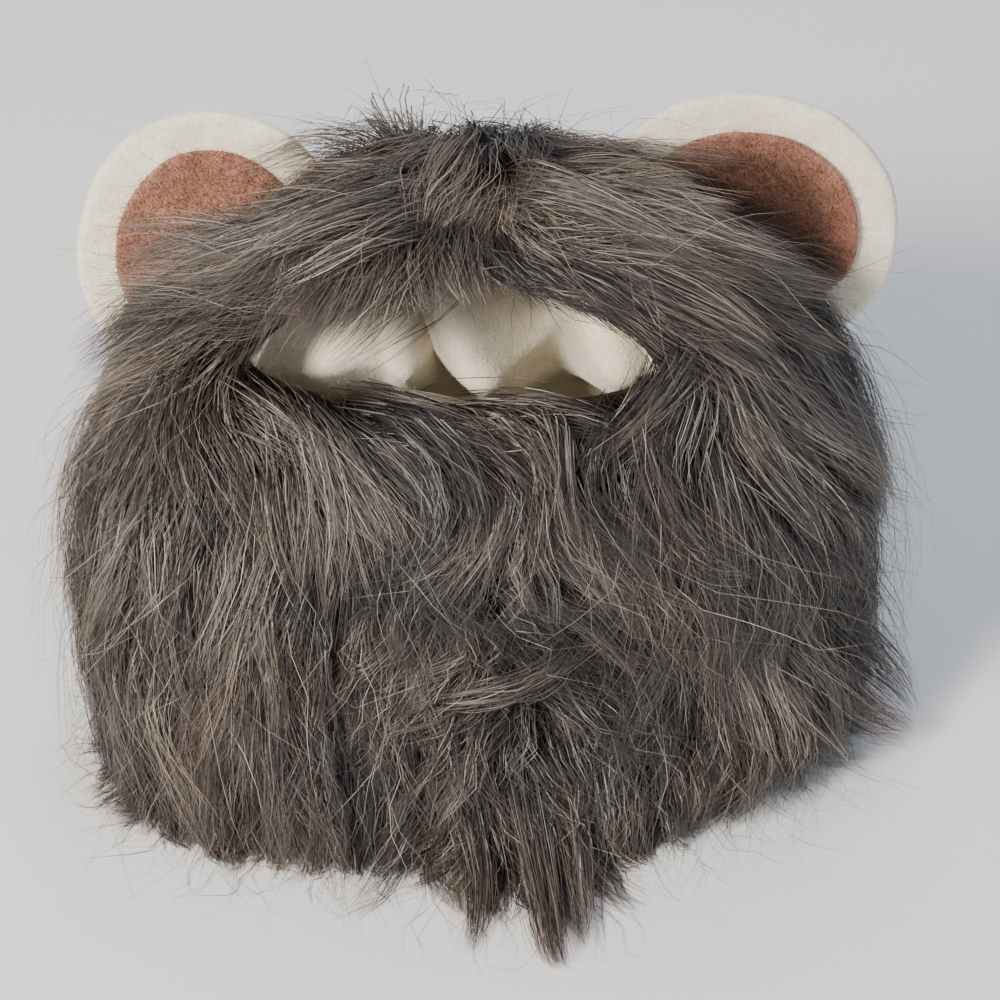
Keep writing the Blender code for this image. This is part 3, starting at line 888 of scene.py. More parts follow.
@dataclass
class Coat:
    """The fur: locks, clumps in the locks, and strands in the clumps."""

    hood: Hood
    lock_spacing: float = 12.0
    clump_spacing: float = 3.5
    segments: int = 6
    # how far a share of 1 is down the hood, and how far strands run past the hem
    hem_reach: float = 160.0
    hem_spill: tuple = (3.0, 17.0)
    hem_spread: float = 0.7
    root_height: float = 1.5
    # the way along a strand by which it has risen to its layer of the pile
    risen_by: float = 0.45
    # how far a curl of 1 swings a strand across and off the coat
    curl_across: float = 2.6
    curl_off: float = 1.3
    floor_gap: float = 0.4
    crest_reach: float = 0.022
    crest_top: float = 0.8
    steepest_turn: float = 30.0
    seam_guard: float = 20.0
    length: float = 44.0
    # how strands vary: the middle where there is one, then by swells, and then one by one
    leans: tuple = (0.46, 0.34, 0.10)
    lengths: tuple = (5.0, 5.0)
    layers: tuple = (0.72, 0.20, 0.12)
    layer_limits: tuple = (0.3, 1.05)
    tips: tuple = (0.02, 0.16, 0.20)
    tip_limits: tuple = (-0.4, 0.5)
    curls: tuple = (0.50, 0.30)
    # what disorder adds to the lean and the curl, and leaves of the length
    wild_lean: float = 3.0
    wild_length: float = 0.70
    wild_curl: float = 1.1
    # the highest share where fur hangs level with the hem, and the lowest that a tip comes
    hem_share: float = 0.06
    tip_floor: float = 0.5
    # wisps: how late strands start, the part that each covers and where the last ends
    wisp_starts: float = 0.7
    wisp_parts: tuple = (0.45, 0.95)
    wisp_end: float = 1.1
    # wisps: their spread left at the tip, their waves and how deep they root
    wisp_gather: float = 0.55
    wisp_wave: float = 1.1
    wisp_root: float = 4.0
    # on the crown, each first away from the ears and then by them
    crown_pile: tuple = (0.95, 0.5)
    crown_rise: tuple = (0.75, 0.45)
    tip_rise: float = 0.9
    top_rise: float = 0.3
    top_shares: tuple = (0.93, 1.05)
    fall: float = 0.35
    sway: float = 0.55
    first_way: float = 0.35
    fringe_reach: float = 0.05
    ceiling: float = 169.0
    crown_from: float = 0.77
    fringe: float = 0.5
    ear_sides: tuple = (28.0, 52.0)
    lap_from: float = 0.55
    box_room: float = 14.0
    ears: tuple = ()
    # where the fur is pulled aside, and which way
    flows: dict = field(default_factory=lambda: {
        "left flank": (Spot(-85.0, 0.40, 26.0, 0.40), (-0.25, 0.0, 0.0)),
        "left cheek": (Spot(-48.0, 0.35, 16.0, 0.35), (-0.05, 0.0, 0.0)),
        "left corner": (Spot(-42.0, 0.68, 10.0, 0.07), (0.9, 0.0, 0.0)),
        "left ear foot": (Spot(-75.0, 0.70, 16.0, 0.08), (-0.15, 0.0, 0.0)),
        "sill": (Spot(-8.0, 0.68, 20.0, 0.04), (2.2, 0.0, 0.2)),
        "under the sill": (Spot(-12.0, 0.62, 14.0, 0.06), (0.9, 0.0, 0.0)),
        "sill right": (Spot(17.0, 0.67, 6.0, 0.05), (-1.4, 0.0, 0.0)),
        "chest": (Spot(8.0, 0.46, 12.0, 0.12), (0.45, 0.0, 0.0)),
        "right corner": (Spot(36.0, 0.70, 10.0, 0.07), (-1.0, 0.0, 0.0)),
        "right cheek": (Spot(52.0, 0.50, 22.0, 0.22), (0.55, 0.0, 0.0)),
        "right flank": (Spot(85.0, 0.45, 22.0, 0.40), (0.35, 0.0, 0.0)),
        "right hem": (Spot(78.0, 0.15, 20.0, 0.12), (0.50, 0.0, 0.0)),
        "hem roll": (Spot(35.0, 0.08, 22.0, 0.12), (0.12, 0.0, 0.0)),
    })
    # where the fur is disordered, and how much
    tangles: dict = field(default_factory=lambda: {
        "bib": (Spot(4.0, 0.38, 22.0, 0.20), 1.0),
        "over the hem roll": (Spot(30.0, 0.22, 16.0, 0.08), 0.8),
        "bib's hem": (Spot(0.0, 0.08, 14.0, 0.08), 0.6),
        "crown": (Spot(0.0, 1.10, 400.0, 0.10), 0.4),
    })
    # where the fur's colour is changed, by how much lighter or darker, and how much warmer: mostly painted
    # highlights on swells and rolls, painted shade in valleys, hollows and under rolls, and warm painted
    # light on the left with cool painted shade on the right; the grey patch is the fur's own tone
    painted_light_and_tone: dict = field(default_factory=lambda: {
        "left cheek band": (Spot(-38.0, 0.40, 24.0, 0.06), 0.50, 0.7),
        "left hem": (Spot(-45.0, 0.06, 25.0, 0.07), -0.05, 0.6),
        "parting": (Spot(-18.0, 0.885, 6.0, 0.03), -0.50, 0.0),
        "right hollow": (Spot(37.0, 0.583, 9.0, 0.06), -0.45, -0.3),
        "right cheek": (Spot(60.0, 0.45, 18.0, 0.12), 0.0, -0.5),
        "valley left": (Spot(-12.0, 0.15, 5.0, 0.05), -0.50, 0.0),
        "valley middle": (Spot(6.0, 0.19, 8.0, 0.035), -0.55, 0.0),
        "valley right": (Spot(14.0, 0.28, 5.0, 0.06), -0.50, 0.0),
        "valley top": (Spot(9.0, 0.38, 4.0, 0.05), -0.30, 0.0),
        "bib's shade": (Spot(-3.0, 0.50, 12.0, 0.07), -0.28, -0.2),
        "chest's middle": (Spot(4.0, 0.36, 9.0, 0.04), 0.15, 0.2),
        "under the left roll": (Spot(-60.0, 0.715, 16.0, 0.028), -0.55, 0.0),
        "right cheek's swell": (Spot(38.0, 0.45, 10.0, 0.05), 0.22, 0.3),
        "grey patch": (Spot(-5.0, 0.19, 5.0, 0.03), 0.35, -0.8),
        "hem roll": (Spot(40.0, 0.14, 26.0, 0.045), 0.25, 0.7),
        "top roll": (Spot(0.0, 1.00, 400.0, 0.08), 0.30, 0.1),
    })
    combs: dict = field(default_factory=lambda: {
        "left temple": Comb((-64.0, 4.0, 122.0), 15.0, (-1.0, -0.15, -0.55), 46.0),
        "left brow": Comb((-42.0, 2.0, 137.0), 15.0, (-1.0, -0.20, 0.02), 56.0),
        "left of the parting": Comb((-26.0, 3.0, 145.0), 12.0, (-1.0, -0.40, 0.0), 46.0),
        "left of the top": Comb((-24.0, 22.0, 154.0), 14.0, (-0.95, -0.45, -0.40), 46.0),
        "left shoulder": Comb((-58.0, 25.0, 138.0), 15.0, (-0.90, -0.20, -0.85), 46.0),
        "behind the left ear": Comb((-52.0, 50.0, 138.0), 16.0, (-0.50, 0.50, -1.0), 34.0),
        "under the parting": Comb((-12.0, 2.0, 146.0), 8.0, (0.15, -1.0, -0.20), 15.0),
        "middle of the top": Comb((0.0, 20.0, 157.0), 12.0, (0.25, -0.90, -0.15), 26.0),
        "crown": Comb((0.0, 36.0, 157.0), 12.0, (0.20, -0.60, 0.0), 26.0),
        "behind the crown": Comb((0.0, 52.0, 152.0), 14.0, (0.0, 0.80, -0.80), 34.0),
        "right of the parting": Comb((8.0, 3.0, 146.0), 10.0, (0.90, -0.60, -0.20), 30.0),
        "right brow": Comb((28.0, 3.0, 141.0), 14.0, (1.0, -0.30, -0.05), 50.0),
        "right end of the brow": Comb((50.0, 2.0, 130.0), 14.0, (1.0, -0.15, -0.50), 50.0),
        "right temple": Comb((66.0, 8.0, 122.0), 15.0, (0.75, -0.20, -0.95), 46.0),
        "right of the top": Comb((24.0, 22.0, 154.0), 14.0, (1.0, -0.45, -0.38), 46.0),
        "right shoulder": Comb((58.0, 26.0, 138.0), 15.0, (0.95, -0.25, -0.80), 48.0),
        "behind the right ear": Comb((52.0, 50.0, 138.0), 16.0, (0.50, 0.50, -1.0), 34.0),
        "nape": Comb((0.0, 54.0, 130.0), 20.0, (0.0, 0.35, -1.0), 36.0),
    })
    wisps: dict = field(default_factory=lambda: {
        "left corner": Wisp(260, 6.0, 0.40, (-48, 0.69, 5), (-34, 0.67, 12), (-15, 0.58, 12)),
        "over the seam": Wisp(200, 5.0, 0.35, (-38, 0.68, 6), (-24, 0.65, 13), (-10, 0.56, 13)),
        "sill": Wisp(260, 6.0, 0.30, (-24, 0.69, 5), (-8, 0.69, 12), (8, 0.64, 13)),
        "along the sill": Wisp(160, 6.0, 0.0, (-4, 0.68, 5), (8, 0.70, 12), (22, 0.67, 13)),
        "pale tuft": Wisp(120, 4.0, 0.60, (24, 0.70, 5), (18, 0.665, 13), (13, 0.60, 14)),
        "right corner": Wisp(240, 7.0, 0.20, (44, 0.77, 8), (33, 0.715, 14), (20, 0.65, 14)),
        "bib": Wisp(140, 4.0, 0.50, (3, 0.45, 10), (11, 0.39, 15), (18, 0.295, 12)),
        "bib's left": Wisp(120, 5.0, 0.30, (-6, 0.50, 10), (-10, 0.42, 16), (-9, 0.33, 12)),
        "bib's middle": Wisp(120, 5.0, 0.25, (12, 0.36, 10), (6, 0.30, 17), (-2, 0.26, 12)),
        "right cheek": Wisp(150, 5.5, 0.45, (27, 0.54, 10), (32, 0.475, 18), (41, 0.43, 16)),
        "brow": Wisp(90, 5.0, 0.35, (-15, 0.93, 8), (-26, 0.90, 16), (-42, 0.84, 16)),
        "left brow": Wisp(160, 7.0, 0.15, (-20, 0.95, 8), (-38, 0.92, 18), (-58, 0.84, 18)),
        "right brow": Wisp(160, 7.0, 0.15, (12, 0.95, 8), (30, 0.93, 18), (52, 0.85, 18)),
        "over the opening": Wisp(50, 9.0, -0.4, (-10, 0.93, 8), (-16, 0.85, 14), (-28, 0.76, 12)),
        "over the right ear": Wisp(200, 9.0, 0.20, (28, 0.95, 8), (54, 0.90, 14), (78, 0.80, 15)),
        "over the left ear": Wisp(180, 9.0, 0.25, (-28, 0.94, 8), (-52, 0.89, 14), (-76, 0.80, 15)),
        "tuft left": Wisp(160, 5.0, 0.10, (-3, 0.14, 8), (-1, 0.05, 24), (-2, 0.012, 46)),
        "tuft middle": Wisp(220, 6.0, 0.05, (3, 0.15, 8), (4, 0.05, 28), (4, 0.012, 62)),
        "tuft right": Wisp(160, 5.0, 0.05, (9, 0.13, 8), (9, 0.05, 25), (8, 0.012, 48)),
        "pale strays": Wisp(40, 6.0, 0.9, (-7, 0.07, 12), (-11, 0.03, 22), (-17, 0.01, 34)),
        "right flank": Wisp(200, 9.0, 0.0, (68, 0.30, 8), (72, 0.19, 17), (78, 0.09, 30)),
        "right hem": Wisp(160, 8.0, 0.1, (60, 0.20, 8), (66, 0.10, 17), (72, 0.04, 32)),
    })

    def scattered(self, spacing: float, rng: np.random.Generator) -> tuple[Array, Array]:
        """Roots all over the hood, about evenly spaced.

        Args:
            spacing: millimetres between roots.
            rng: the source of their jitter.

        Returns:
            Their angles and shares.
        """
        shares = np.linspace(0.0, 1.0 + self.hood.cap_span, 400)
        side = self.hood.at(np.full(400, 60.0), shares)
        way = np.concatenate([[0], np.cumsum(np.linalg.norm(np.diff(side, axis=0), axis=1))])
        rows = np.interp(np.arange(spacing / 2, way[-1], spacing), way, shares)
        angles, places = [], []
        for row in rows:
            ring = self.hood.at(np.linspace(-180, 180, 121), np.full(121, row))
            around = np.linalg.norm(np.diff(ring, axis=0), axis=1)
            reach = np.concatenate([[0], np.cumsum(around)])
            count = max(int(reach[-1] / spacing), 1)
            at = (np.arange(count) + rng.uniform(-0.5, 0.5, count)) * reach[-1] / count
            angles.append(np.interp(at, reach, np.linspace(-180, 180, 121)))
            places.append(row + rng.uniform(-0.5, 0.5, count) * (rows[1] - rows[0]))
        angle, share = np.concatenate(angles), np.clip(np.concatenate(places), 0.0, 1.19)
        keep = ~self.hood.in_opening(angle, share)
        return angle[keep], share[keep]

    def wildness(self, angle: Array, share: Array) -> Array:
        """How disordered the fur is: 0 where it falls straight, 1 in the curly bib."""
        wild = sum(much * spot.near(angle, share) for spot, much in self.tangles.values())
        return np.minimum(wild, 1.0)

    def flow(self, angle: Array, share: Array, basis: tuple) -> Array:
        """The way that the fur lies: down the hood, and pulled aside by the flows.

        Args:
            angle: degrees round the hood.
            share: shares of the height.
            basis: what the hood's basis says of these places.

        Returns:
            A way for each place, not of unit length.
        """
        _, _, per_share, _ = basis
        way = -unit(per_share)
        for spot, pull in self.flows.values():
            way = way + spot.near(angle, share)[:, None] * np.array(pull)
        return way

    def crest(self, angle: Array, share: Array) -> Array:
        """How near places are to the sill of the face opening.

        Args:
            angle: degrees round the hood.
            share: shares of the height.

        Returns:
            1 on the sill's edge, and less below it.
        """
        within = np.abs(turned(angle - self.hood.opening_middle)) < self.hood.opening_half
        below = self.hood.edge(angle, self.hood.sill_share) - share
        return np.exp(-((below / self.crest_reach) ** 2)) * within * (share < self.crest_top)

    def grown(self, growth: Growth, steps: int) -> tuple[Array, Array]:
        """Paths that lie along the hood, each on its own layer of the pile.

        Args:
            growth: the paths' roots and how they lie.
            steps: how many steps each path takes.

        Returns:
            Points in millimetres, a row a path, and the normals at them.
        """
        hood = self.hood
        angle, share = growth.angle.copy(), growth.share.copy()
        step = growth.length / steps
        crest = self.crest(angle, share)
        tuft = hood.tuft(angle, share) * (0.35 + 0.65 * growth.layer)
        points, normals = [], []
        for k in range(steps + 1):
            t = k / steps
            basis = hood.basis(angle, share)
            here, per_angle, per_share, normal = basis
            flow = self.flow(angle, share, basis)
            depth = hood.depth(angle, share)
            rise = 1 - (1 - min(t / self.risen_by, 1.0)) ** 2
            root = self.root_height
            high = root + (depth * growth.layer - root) * rise + growth.tip * t**3 * depth
            high = np.maximum(high, 1.0) + hood.lift(growth.angle, growth.share)
            over = np.maximum(-share, 0.0) * self.hem_reach
            drop = np.minimum(over, here[:, 2])
            level = unit(normal * np.array([1.0, 1.0, 0.0]))
            out = mix(normal, level, smooth_step(self.hem_share, 0.0, share)[:, None])
            point = here + out * high[:, None]
            point[:, 2] -= drop
            point += level * ((over - drop) * self.hem_spread + tuft * t)[:, None]
            point[:, 2] += (1 + 8 * growth.layer) * crest * math.sin(math.pi * min(1.6 * t, 1.0))
            turn = growth.phase + t * 2 * math.pi * (0.9 + 0.7 * growth.curl)
            across = unit(np.cross(normal, flow))
            swing = (np.sin(turn) - np.sin(growth.phase)) * growth.curl * t * self.curl_across
            bounce = np.cos(growth.phase * 1.7 + t * 6.0) * growth.curl * t * self.curl_off
            point += across * swing[:, None]
            point += normal * bounce[:, None]
            point[:, 2] = np.maximum(point[:, 2], self.floor_gap)
            points.append(point)
            normals.append(normal)
            way = flow + unit(per_angle) * (growth.lean * (0.4 + 0.6 * t))[:, None]
            way = way - normal * (way * normal).sum(1)[:, None]
            way = unit(way) * step[:, None]
            aa = (per_angle**2).sum(1) + 0.01
            ss = (per_share**2).sum(1)
            cross = (per_angle * per_share).sum(1)
            a, s = (way * per_angle).sum(1), (way * per_share).sum(1)
            det = aa * ss - cross * cross
            move = np.clip((a * ss - s * cross) / det, -self.steepest_turn, self.steepest_turn)
            side = hood.seam_side(angle, share)
            angle = angle + move
            share = share + (s * aa - a * cross) / det
            crossed = np.sign(hood.seam_side(angle, share)) != np.sign(side)
            crossed &= (np.abs(side) < self.seam_guard) & (share < self.lap_from)
            angle = np.where(crossed, angle - move, angle)
        return np.stack(points, 1), np.stack(normals, 1)

    def combed(self, roots: Array) -> tuple[Array, Array]:
        """How the crown's fur is combed.

        Args:
            roots: the strands' roots, in millimetres.

        Returns:
            The way at each root, and the length there.
        """
        combs = list(self.combs.values())
        places = np.array([comb.place for comb in combs])
        reach = np.array([comb.reach for comb in combs])
        apart = np.linalg.norm(roots[:, None, :] - places[None, :, :], axis=2) / reach
        near = np.exp(-apart * apart) + 1e-4 / (1 + apart**4)
        near = near / near.sum(1, keepdims=True)
        ways = near @ np.array([comb.way for comb in combs])
        return ways, near @ np.array([comb.length for comb in combs])

    def swept(self, growth: Growth, steps: int) -> tuple[Array, Array]:
        """Paths of the crown, which follow the combs and lie on the hood.

        Args:
            growth: the paths' roots and how they lie.
            steps: how many steps each path takes.

        Returns:
            Points in millimetres, a row a path, and the normals at their roots.
        """
        hood = self.hood
        here, _, _, normal = hood.basis(growth.angle, growth.share)
        way, length = self.combed(here)
        side = unit(np.cross(normal, way))
        way = unit(way + side * growth.lean[:, None])
        above = growth.share - hood.edge(growth.angle, hood.lintel_share)
        within = np.abs(turned(growth.angle - hood.opening_middle)) < hood.opening_half
        short = np.where(within, mix(self.fringe, 1.0, smooth_step(0.0, self.fringe_reach, above)), 1.0)
        length = length * short * growth.length / self.length
        top = smooth_step(*self.top_shares, growth.share)
        by_ear = smooth_step(*self.ear_sides, np.abs(here[:, 0]))
        depth = hood.depth(growth.angle, growth.share) * growth.layer
        depth = depth * mix(*self.crown_pile, by_ear)
        point = here + normal * self.root_height
        points = [point]
        step = (length / steps)[:, None]
        for k in range(1, steps + 1):
            t = k / steps
            rise = mix(*self.crown_rise, by_ear) * (1 - t) ** 2 * growth.layer
            rise = rise + self.tip_rise * growth.tip * t + self.top_rise * top * (1 - t)
            fall = np.array([0.0, 0.0, -self.fall * t])
            sway = growth.curl * np.sin(growth.phase + t * 7.0) * self.sway
            heading = normal * rise[:, None] + way * (self.first_way + t) + fall
            heading = heading + side * sway[:, None]
            point = point + unit(heading) * step
            point = hood.push_out(point, depth * min(1.0, 2.2 * t) + self.root_height)
            points.append(point)
        points = np.stack(points, 1)
        for ear in self.ears:
            points = ear.kept_clear(points)
        return points, np.repeat(normal[:, None, :], steps + 1, axis=1)

    def paths(self, growth: Growth, steps: int) -> tuple[Array, Array]:
        """The paths of any roots: swept on the crown, and lying below it.

        Args:
            growth: the paths' roots and how they lie.
            steps: how many steps each path takes.

        Returns:
            Points in millimetres, a row a path, and the normals at them.
        """
        points, normals = self.grown(growth, steps)
        high = growth.share > self.crown_from
        points[high], normals[high] = self.swept(growth.picked(high), steps)
        return points, normals

    def wisp_paths(self, wisp: Wisp, steps: int, rng: np.random.Generator) -> tuple[Array, Array]:
        """The strands of a lock that stands apart, drawn together at its tip.

        Args:
            wisp: the lock.
            steps: how many steps each strand takes.
            rng: the source of what varies.

        Returns:
            Points in millimetres, a row a strand, and the normals at them.
        """
        places = np.array([wisp.root, wisp.middle, wisp.tip])
        here, _, _, normal = self.hood.basis(places[:, 0], places[:, 1])
        level = unit(normal * np.array([1.0, 1.0, 0.0]))
        out = np.where(places[:, 1:2] < self.hem_share, level, normal)
        root, middle, tip = here + out * places[:, 2:]
        count = wisp.strands
        start = rng.uniform(0, self.wisp_starts, (count, 1, 1)) ** 1.3
        end = np.minimum(start + rng.uniform(*self.wisp_parts, (count, 1, 1)), self.wisp_end)
        t = mix(start, end, np.linspace(0, 1, steps + 1)[None, :, None])
        bend = 2 * middle - (root + tip) / 2
        line = (1 - t) ** 2 * root + 2 * t * (1 - t) * bend + t * t * tip
        spread = rng.normal(0, wisp.spread * 0.6, (count, 1, 3)) * mix(1.0, self.wisp_gather, t)
        wave = np.sin(t * 7.0 + rng.uniform(0, 6.3, (count, 1, 1)))
        wave = wave * rng.normal(0, self.wisp_wave, (count, 1, 3)) * t
        dip = normal[0] * (self.wisp_root * np.maximum(1 - (t - start) * 5.0, 0.0))
        points = line + spread + wave - dip
        for ear in self.ears:
            points = ear.kept_clear(points) if places[:, 1].min() > self.crown_from else points
        points[..., 2] = np.maximum(points[..., 2], self.tip_floor)
        return points, np.repeat(normal[1][None, None, :], count, 0).repeat(steps + 1, 1)

    def boxed(self, points: Array) -> Array:
        """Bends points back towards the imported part's box, where they are far out of it.

        Args:
            points: places in millimetres, which are changed.

        Returns:
            The same places.
        """
        middle = np.array(self.hood.footprint_middle)
        low, high = (np.array(corner) / MM + middle for corner in CAD_BOX)
        soft = self.box_room
        above = np.maximum(points[..., 2] - self.ceiling, 0.0)
        points[..., 2] += soft * (1 - np.exp(-above / soft)) - above
        for axis in range(3):
            over = np.maximum(points[..., axis] - high[axis], 0.0)
            under = np.maximum(low[axis] - points[..., axis], 0.0)
            bent = soft * (1 - np.exp(-over / soft)) - over
            points[..., axis] += bent - (soft * (1 - np.exp(-under / soft)) - under)
        points[..., 2] = np.maximum(points[..., 2], self.tip_floor)
        return points

    def habits(self, angle: Array, share: Array, rng: np.random.Generator) -> Growth:
        """How the fur lies at roots: lengths, layers and leans.

        Args:
            angle: the roots' angles.
            share: the roots' shares.
            rng: the source of what varies.

        Returns:
            The growth of those roots.
        """
        count = len(angle)
        roots = self.hood.at(angle, share)
        wild = self.wildness(angle, share)
        wide, fine, each = self.leans
        lean = wide * Swell.LEAN_WIDE.at(roots) + fine * Swell.LEAN_FINE.at(roots)
        lean = lean * (1 + self.wild_lean * wild) + rng.normal(0, each, count)
        swell, each = self.lengths
        length = self.length + swell * Swell.LENGTH.at(roots) + rng.normal(0, each, count)
        length = length * mix(1.0, self.wild_length, wild)
        raised = self.hood.read(self.hood.pile_curve, turned(angle), 3)
        hem = share * self.hem_reach - raised + rng.uniform(*self.hem_spill, count)
        length = np.where(share < self.crown_from - 0.01, np.minimum(length, hem), length)
        middle, swell, each = self.layers
        layer = middle + swell * Swell.LAYER.at(roots) + rng.normal(0, each, count)
        middle, swell, each = self.tips
        tip = rng.normal(middle, each, count) + swell * Swell.TIP.at(roots)
        curl = np.abs(rng.normal(*self.curls, count)) + self.wild_curl * wild
        layer, tip = np.clip(layer, *self.layer_limits), np.clip(tip, *self.tip_limits)
        return Growth(
            angle, share, length, layer, lean, tip,
            curl, rng.uniform(0, 2 * math.pi, count), rng.normal(0, 1, count),
        )


def nearest(places: Array, targets: Array) -> Array:
    """Finds the nearest targets.

    Args:
        places: points to start from.
        targets: points to look for.

    Returns:
        For each place, the number of its nearest target.
    """
    tree = kdtree.KDTree(len(targets))
    for number, target in enumerate(targets):
        tree.insert(target, number)
    tree.balance()
    return np.array([tree.find(place)[1] for place in places])


@dataclass
class Mane:
    """The faux fur: its backing, and the coat of strands on it."""

    hood: Hood
    coat: Coat
    seed: int = 41
    width: float = 0.27
    front_strands: int = 14
    brow_strands: int = 25
    sill_strands: int = 21
    back_strands: int = 8
    back_from: float = 115.0
    facing_to: float = 75.0
    sill_crest: float = 0.2
    flyaways: int = 3400
    # the backing: its columns and rows, how far off the hood it is, its hem's height and its wall
    backing_grid: tuple = (144, 28, 16)
    backing_off: float = 0.6
    backing_hem: float = 1.8
    backing_wall: float = 1.2
    stray_share: float = 0.03
    stray_lift: float = 0.5
    # how a strand strays from its clump
    clump_reach: float = 0.9
    stray_length: tuple = (0.70, 1.12)
    stray_layer: float = 0.14
    stray_lean: float = 0.16
    stray_tip: float = 0.16
    stray_curl: tuple = (0.5, 1.3)
    stray_phase: float = 0.5
    stray_tone: float = 0.4
    layer_limits: tuple = (0.15, 1.1)
    # how a loose strand stands off the coat
    loose_layer: tuple = (0.8, 1.55)
    loose_tip: float = 1.3
    loose_length: tuple = (0.8, 1.6)
    loose_extra: float = 16.0
    loose_lean: float = 0.8
    loose_curl: float = 1.6
    loose_tones: tuple = (-2.6, -2.6, -2.0, 2.5)
    # how far clumps are drawn to their lock's tip, and between which distances that fades
    lock_hold: float = 0.82
    lock_apart: tuple = (24.0, 14.0)
    lock_tone: float = 0.8
    clump_tone: float = 0.6
    # how far strands are drawn to their clump's tip, and the share of them that hardly are
    clump_hold: tuple = (0.5, 0.92)
    free_share: float = 0.10
    free_hold: float = 0.1
    # widths against the pile's: loose strands, wisps, strands behind, and how they vary
    loose_width: float = 0.6
    wisp_width: float = 0.9
    back_width: float = 1.5
    widths: tuple = (0.7, 1.25)
    twist: float = 0.45
    wisp_tone: float = 0.8
    wisp_light: float = 1.6
    # where tones lie on the palette: the middle, then by swells, by locks and one by one
    tones: tuple = (0.35, 0.11, 0.13, 0.13)
    warmth_swell: float = 0.35
    seam_reach: float = 5.0
    seam_shade: float = 0.55
    seam_top: float = 0.62
    # the light left at the roots, and the way along a strand where it has all of it
    root_light: float = 0.18
    lit_from: float = 0.55
    # how much lighter tips are, and the few that are lighter still
    frosts: tuple = (-0.15, 0.7)
    frosted: float = 0.9
    frosted_share: float = 0.08
    palette: tuple = (
        linear(34, 31, 31), linear(61, 55, 52), linear(92, 84, 77),
        linear(130, 119, 106), linear(194, 181, 161),
    )
    # cool and warm tints of the fur: warmth varies at random, and the spots add warm painted light and cool
    # painted shade
    cool: tuple = (0.94, 0.99, 1.08)
    warm: tuple = (1.07, 0.99, 0.90)

    def backing(self) -> bpy.types.Object:
        """The knitted backing, a thin open hood just inside the roots.

        Returns:
            The backing, with its wall.
        """
        hood = self.hood
        columns, low_rows, top_rows = self.backing_grid
        angles = hood.seam_angle + np.arange(columns + 1) * 360.0 / columns
        rows = []
        for row in range(low_rows + 1):
            share = hood.edge(angles, hood.sill_share) * row / low_rows
            angle = hood.column_angle(angles, share)
            here, _, _, normal = hood.basis(angle, share)
            ends = np.where(np.arange(columns + 1) == 0, 0.0, hood.lift(angle - 0.01, share))
            rows.append(here + normal * (self.backing_off + ends)[:, None])
        for row in range(top_rows + 1):
            share = mix(hood.edge(angles, hood.lintel_share), 1.2, row / top_rows)
            here, _, _, normal = hood.basis(angles, np.minimum(share, 1.199))
            rows.append(here + normal * self.backing_off)
        middle = turned(angles[:-1] + 180.0 / columns - hood.opening_middle)
        inside = np.flatnonzero(np.abs(middle) < hood.opening_half).tolist()
        hole = [(low_rows, column) for column in inside]
        points = np.stack(rows)
        points[..., 2] = np.maximum(points[..., 2], self.backing_hem)
        made = cloth_grid("fur_backing", hood.place(points), hole)
        thicken(made, self.backing_wall * MM, 1.0)
        return made

    def tints(self, growth: Growth, roots: Array, steps: int, rng: np.random.Generator) -> Array:
        """Each strand's colours from root to tip.

        Args:
            growth: the strands.
            roots: their roots, in millimetres.
            steps: the points of each path, less one.
            rng: the source of what varies.

        Returns:
            Colours in linear light, a row a strand.
        """
        palette = np.array(self.palette)
        middle, swell, lock, each = self.tones
        pick = middle + swell * Swell.SHADE.at(roots) + lock * growth.tone
        pick = np.clip(pick + rng.normal(0, each, len(roots)), 0, 0.98) * (len(palette) - 1)
        low = pick.astype(int)
        base = mix(palette[low], palette[low + 1], (pick - low)[:, None])
        warmth = 0.5 + self.warmth_swell * Swell.WARMTH.at(roots)
        light = np.ones(len(roots))
        # painted highlights and painted shade from the spots, with a few patches of the fur's own tone
        for spot, lighter, warmer in self.coat.painted_light_and_tone.values():
            near = spot.near(growth.angle, growth.share)
            light *= 1 + lighter * near
            warmth += warmer * near
        seam = np.abs(self.hood.seam_side(growth.angle, growth.share)) / self.seam_reach
        light *= 1 - self.seam_shade * np.exp(-seam * seam) * (growth.share < self.seam_top)
        base = base * mix(np.array(self.cool), np.array(self.warm), np.clip(warmth, 0, 1)[:, None])
        way = np.linspace(0, 1, steps + 1)
        shade = mix(self.root_light, 1.0, smooth_step(0.0, self.lit_from, way))
        frost = rng.uniform(*self.frosts, len(roots))
        frost = frost + self.frosted * (rng.uniform(0, 1, len(roots)) < self.frosted_share)
        ends = 1 + np.outer(frost, smooth_step(0.5, 1.0, way))
        return base[:, None, :] * (light[:, None] * shade[None, :] * ends)[..., None]

    def region(self, angle: Array, share: Array) -> Array:
        """The region of each root.

        Args:
            angle: the roots' angles.
            share: the roots' shares.

        Returns:
            Each root's number in Region.
        """
        regions = list(Region)
        side = self.hood.seam_side(angle, share)
        around = turned(angle)
        number = np.full(len(angle), regions.index(Region.RIGHT_CHEEK))
        number[side < 0] = regions.index(Region.LEFT_CHEEK)
        number[(side >= 0) & (around < 26)] = regions.index(Region.BIB)
        number[share > 0.74] = regions.index(Region.CROWN)
        number[(share > 0.74) & (np.abs(around) < 62)] = regions.index(Region.BROW)
        number[np.abs(around) > self.back_from] = regions.index(Region.BACK)
        return number

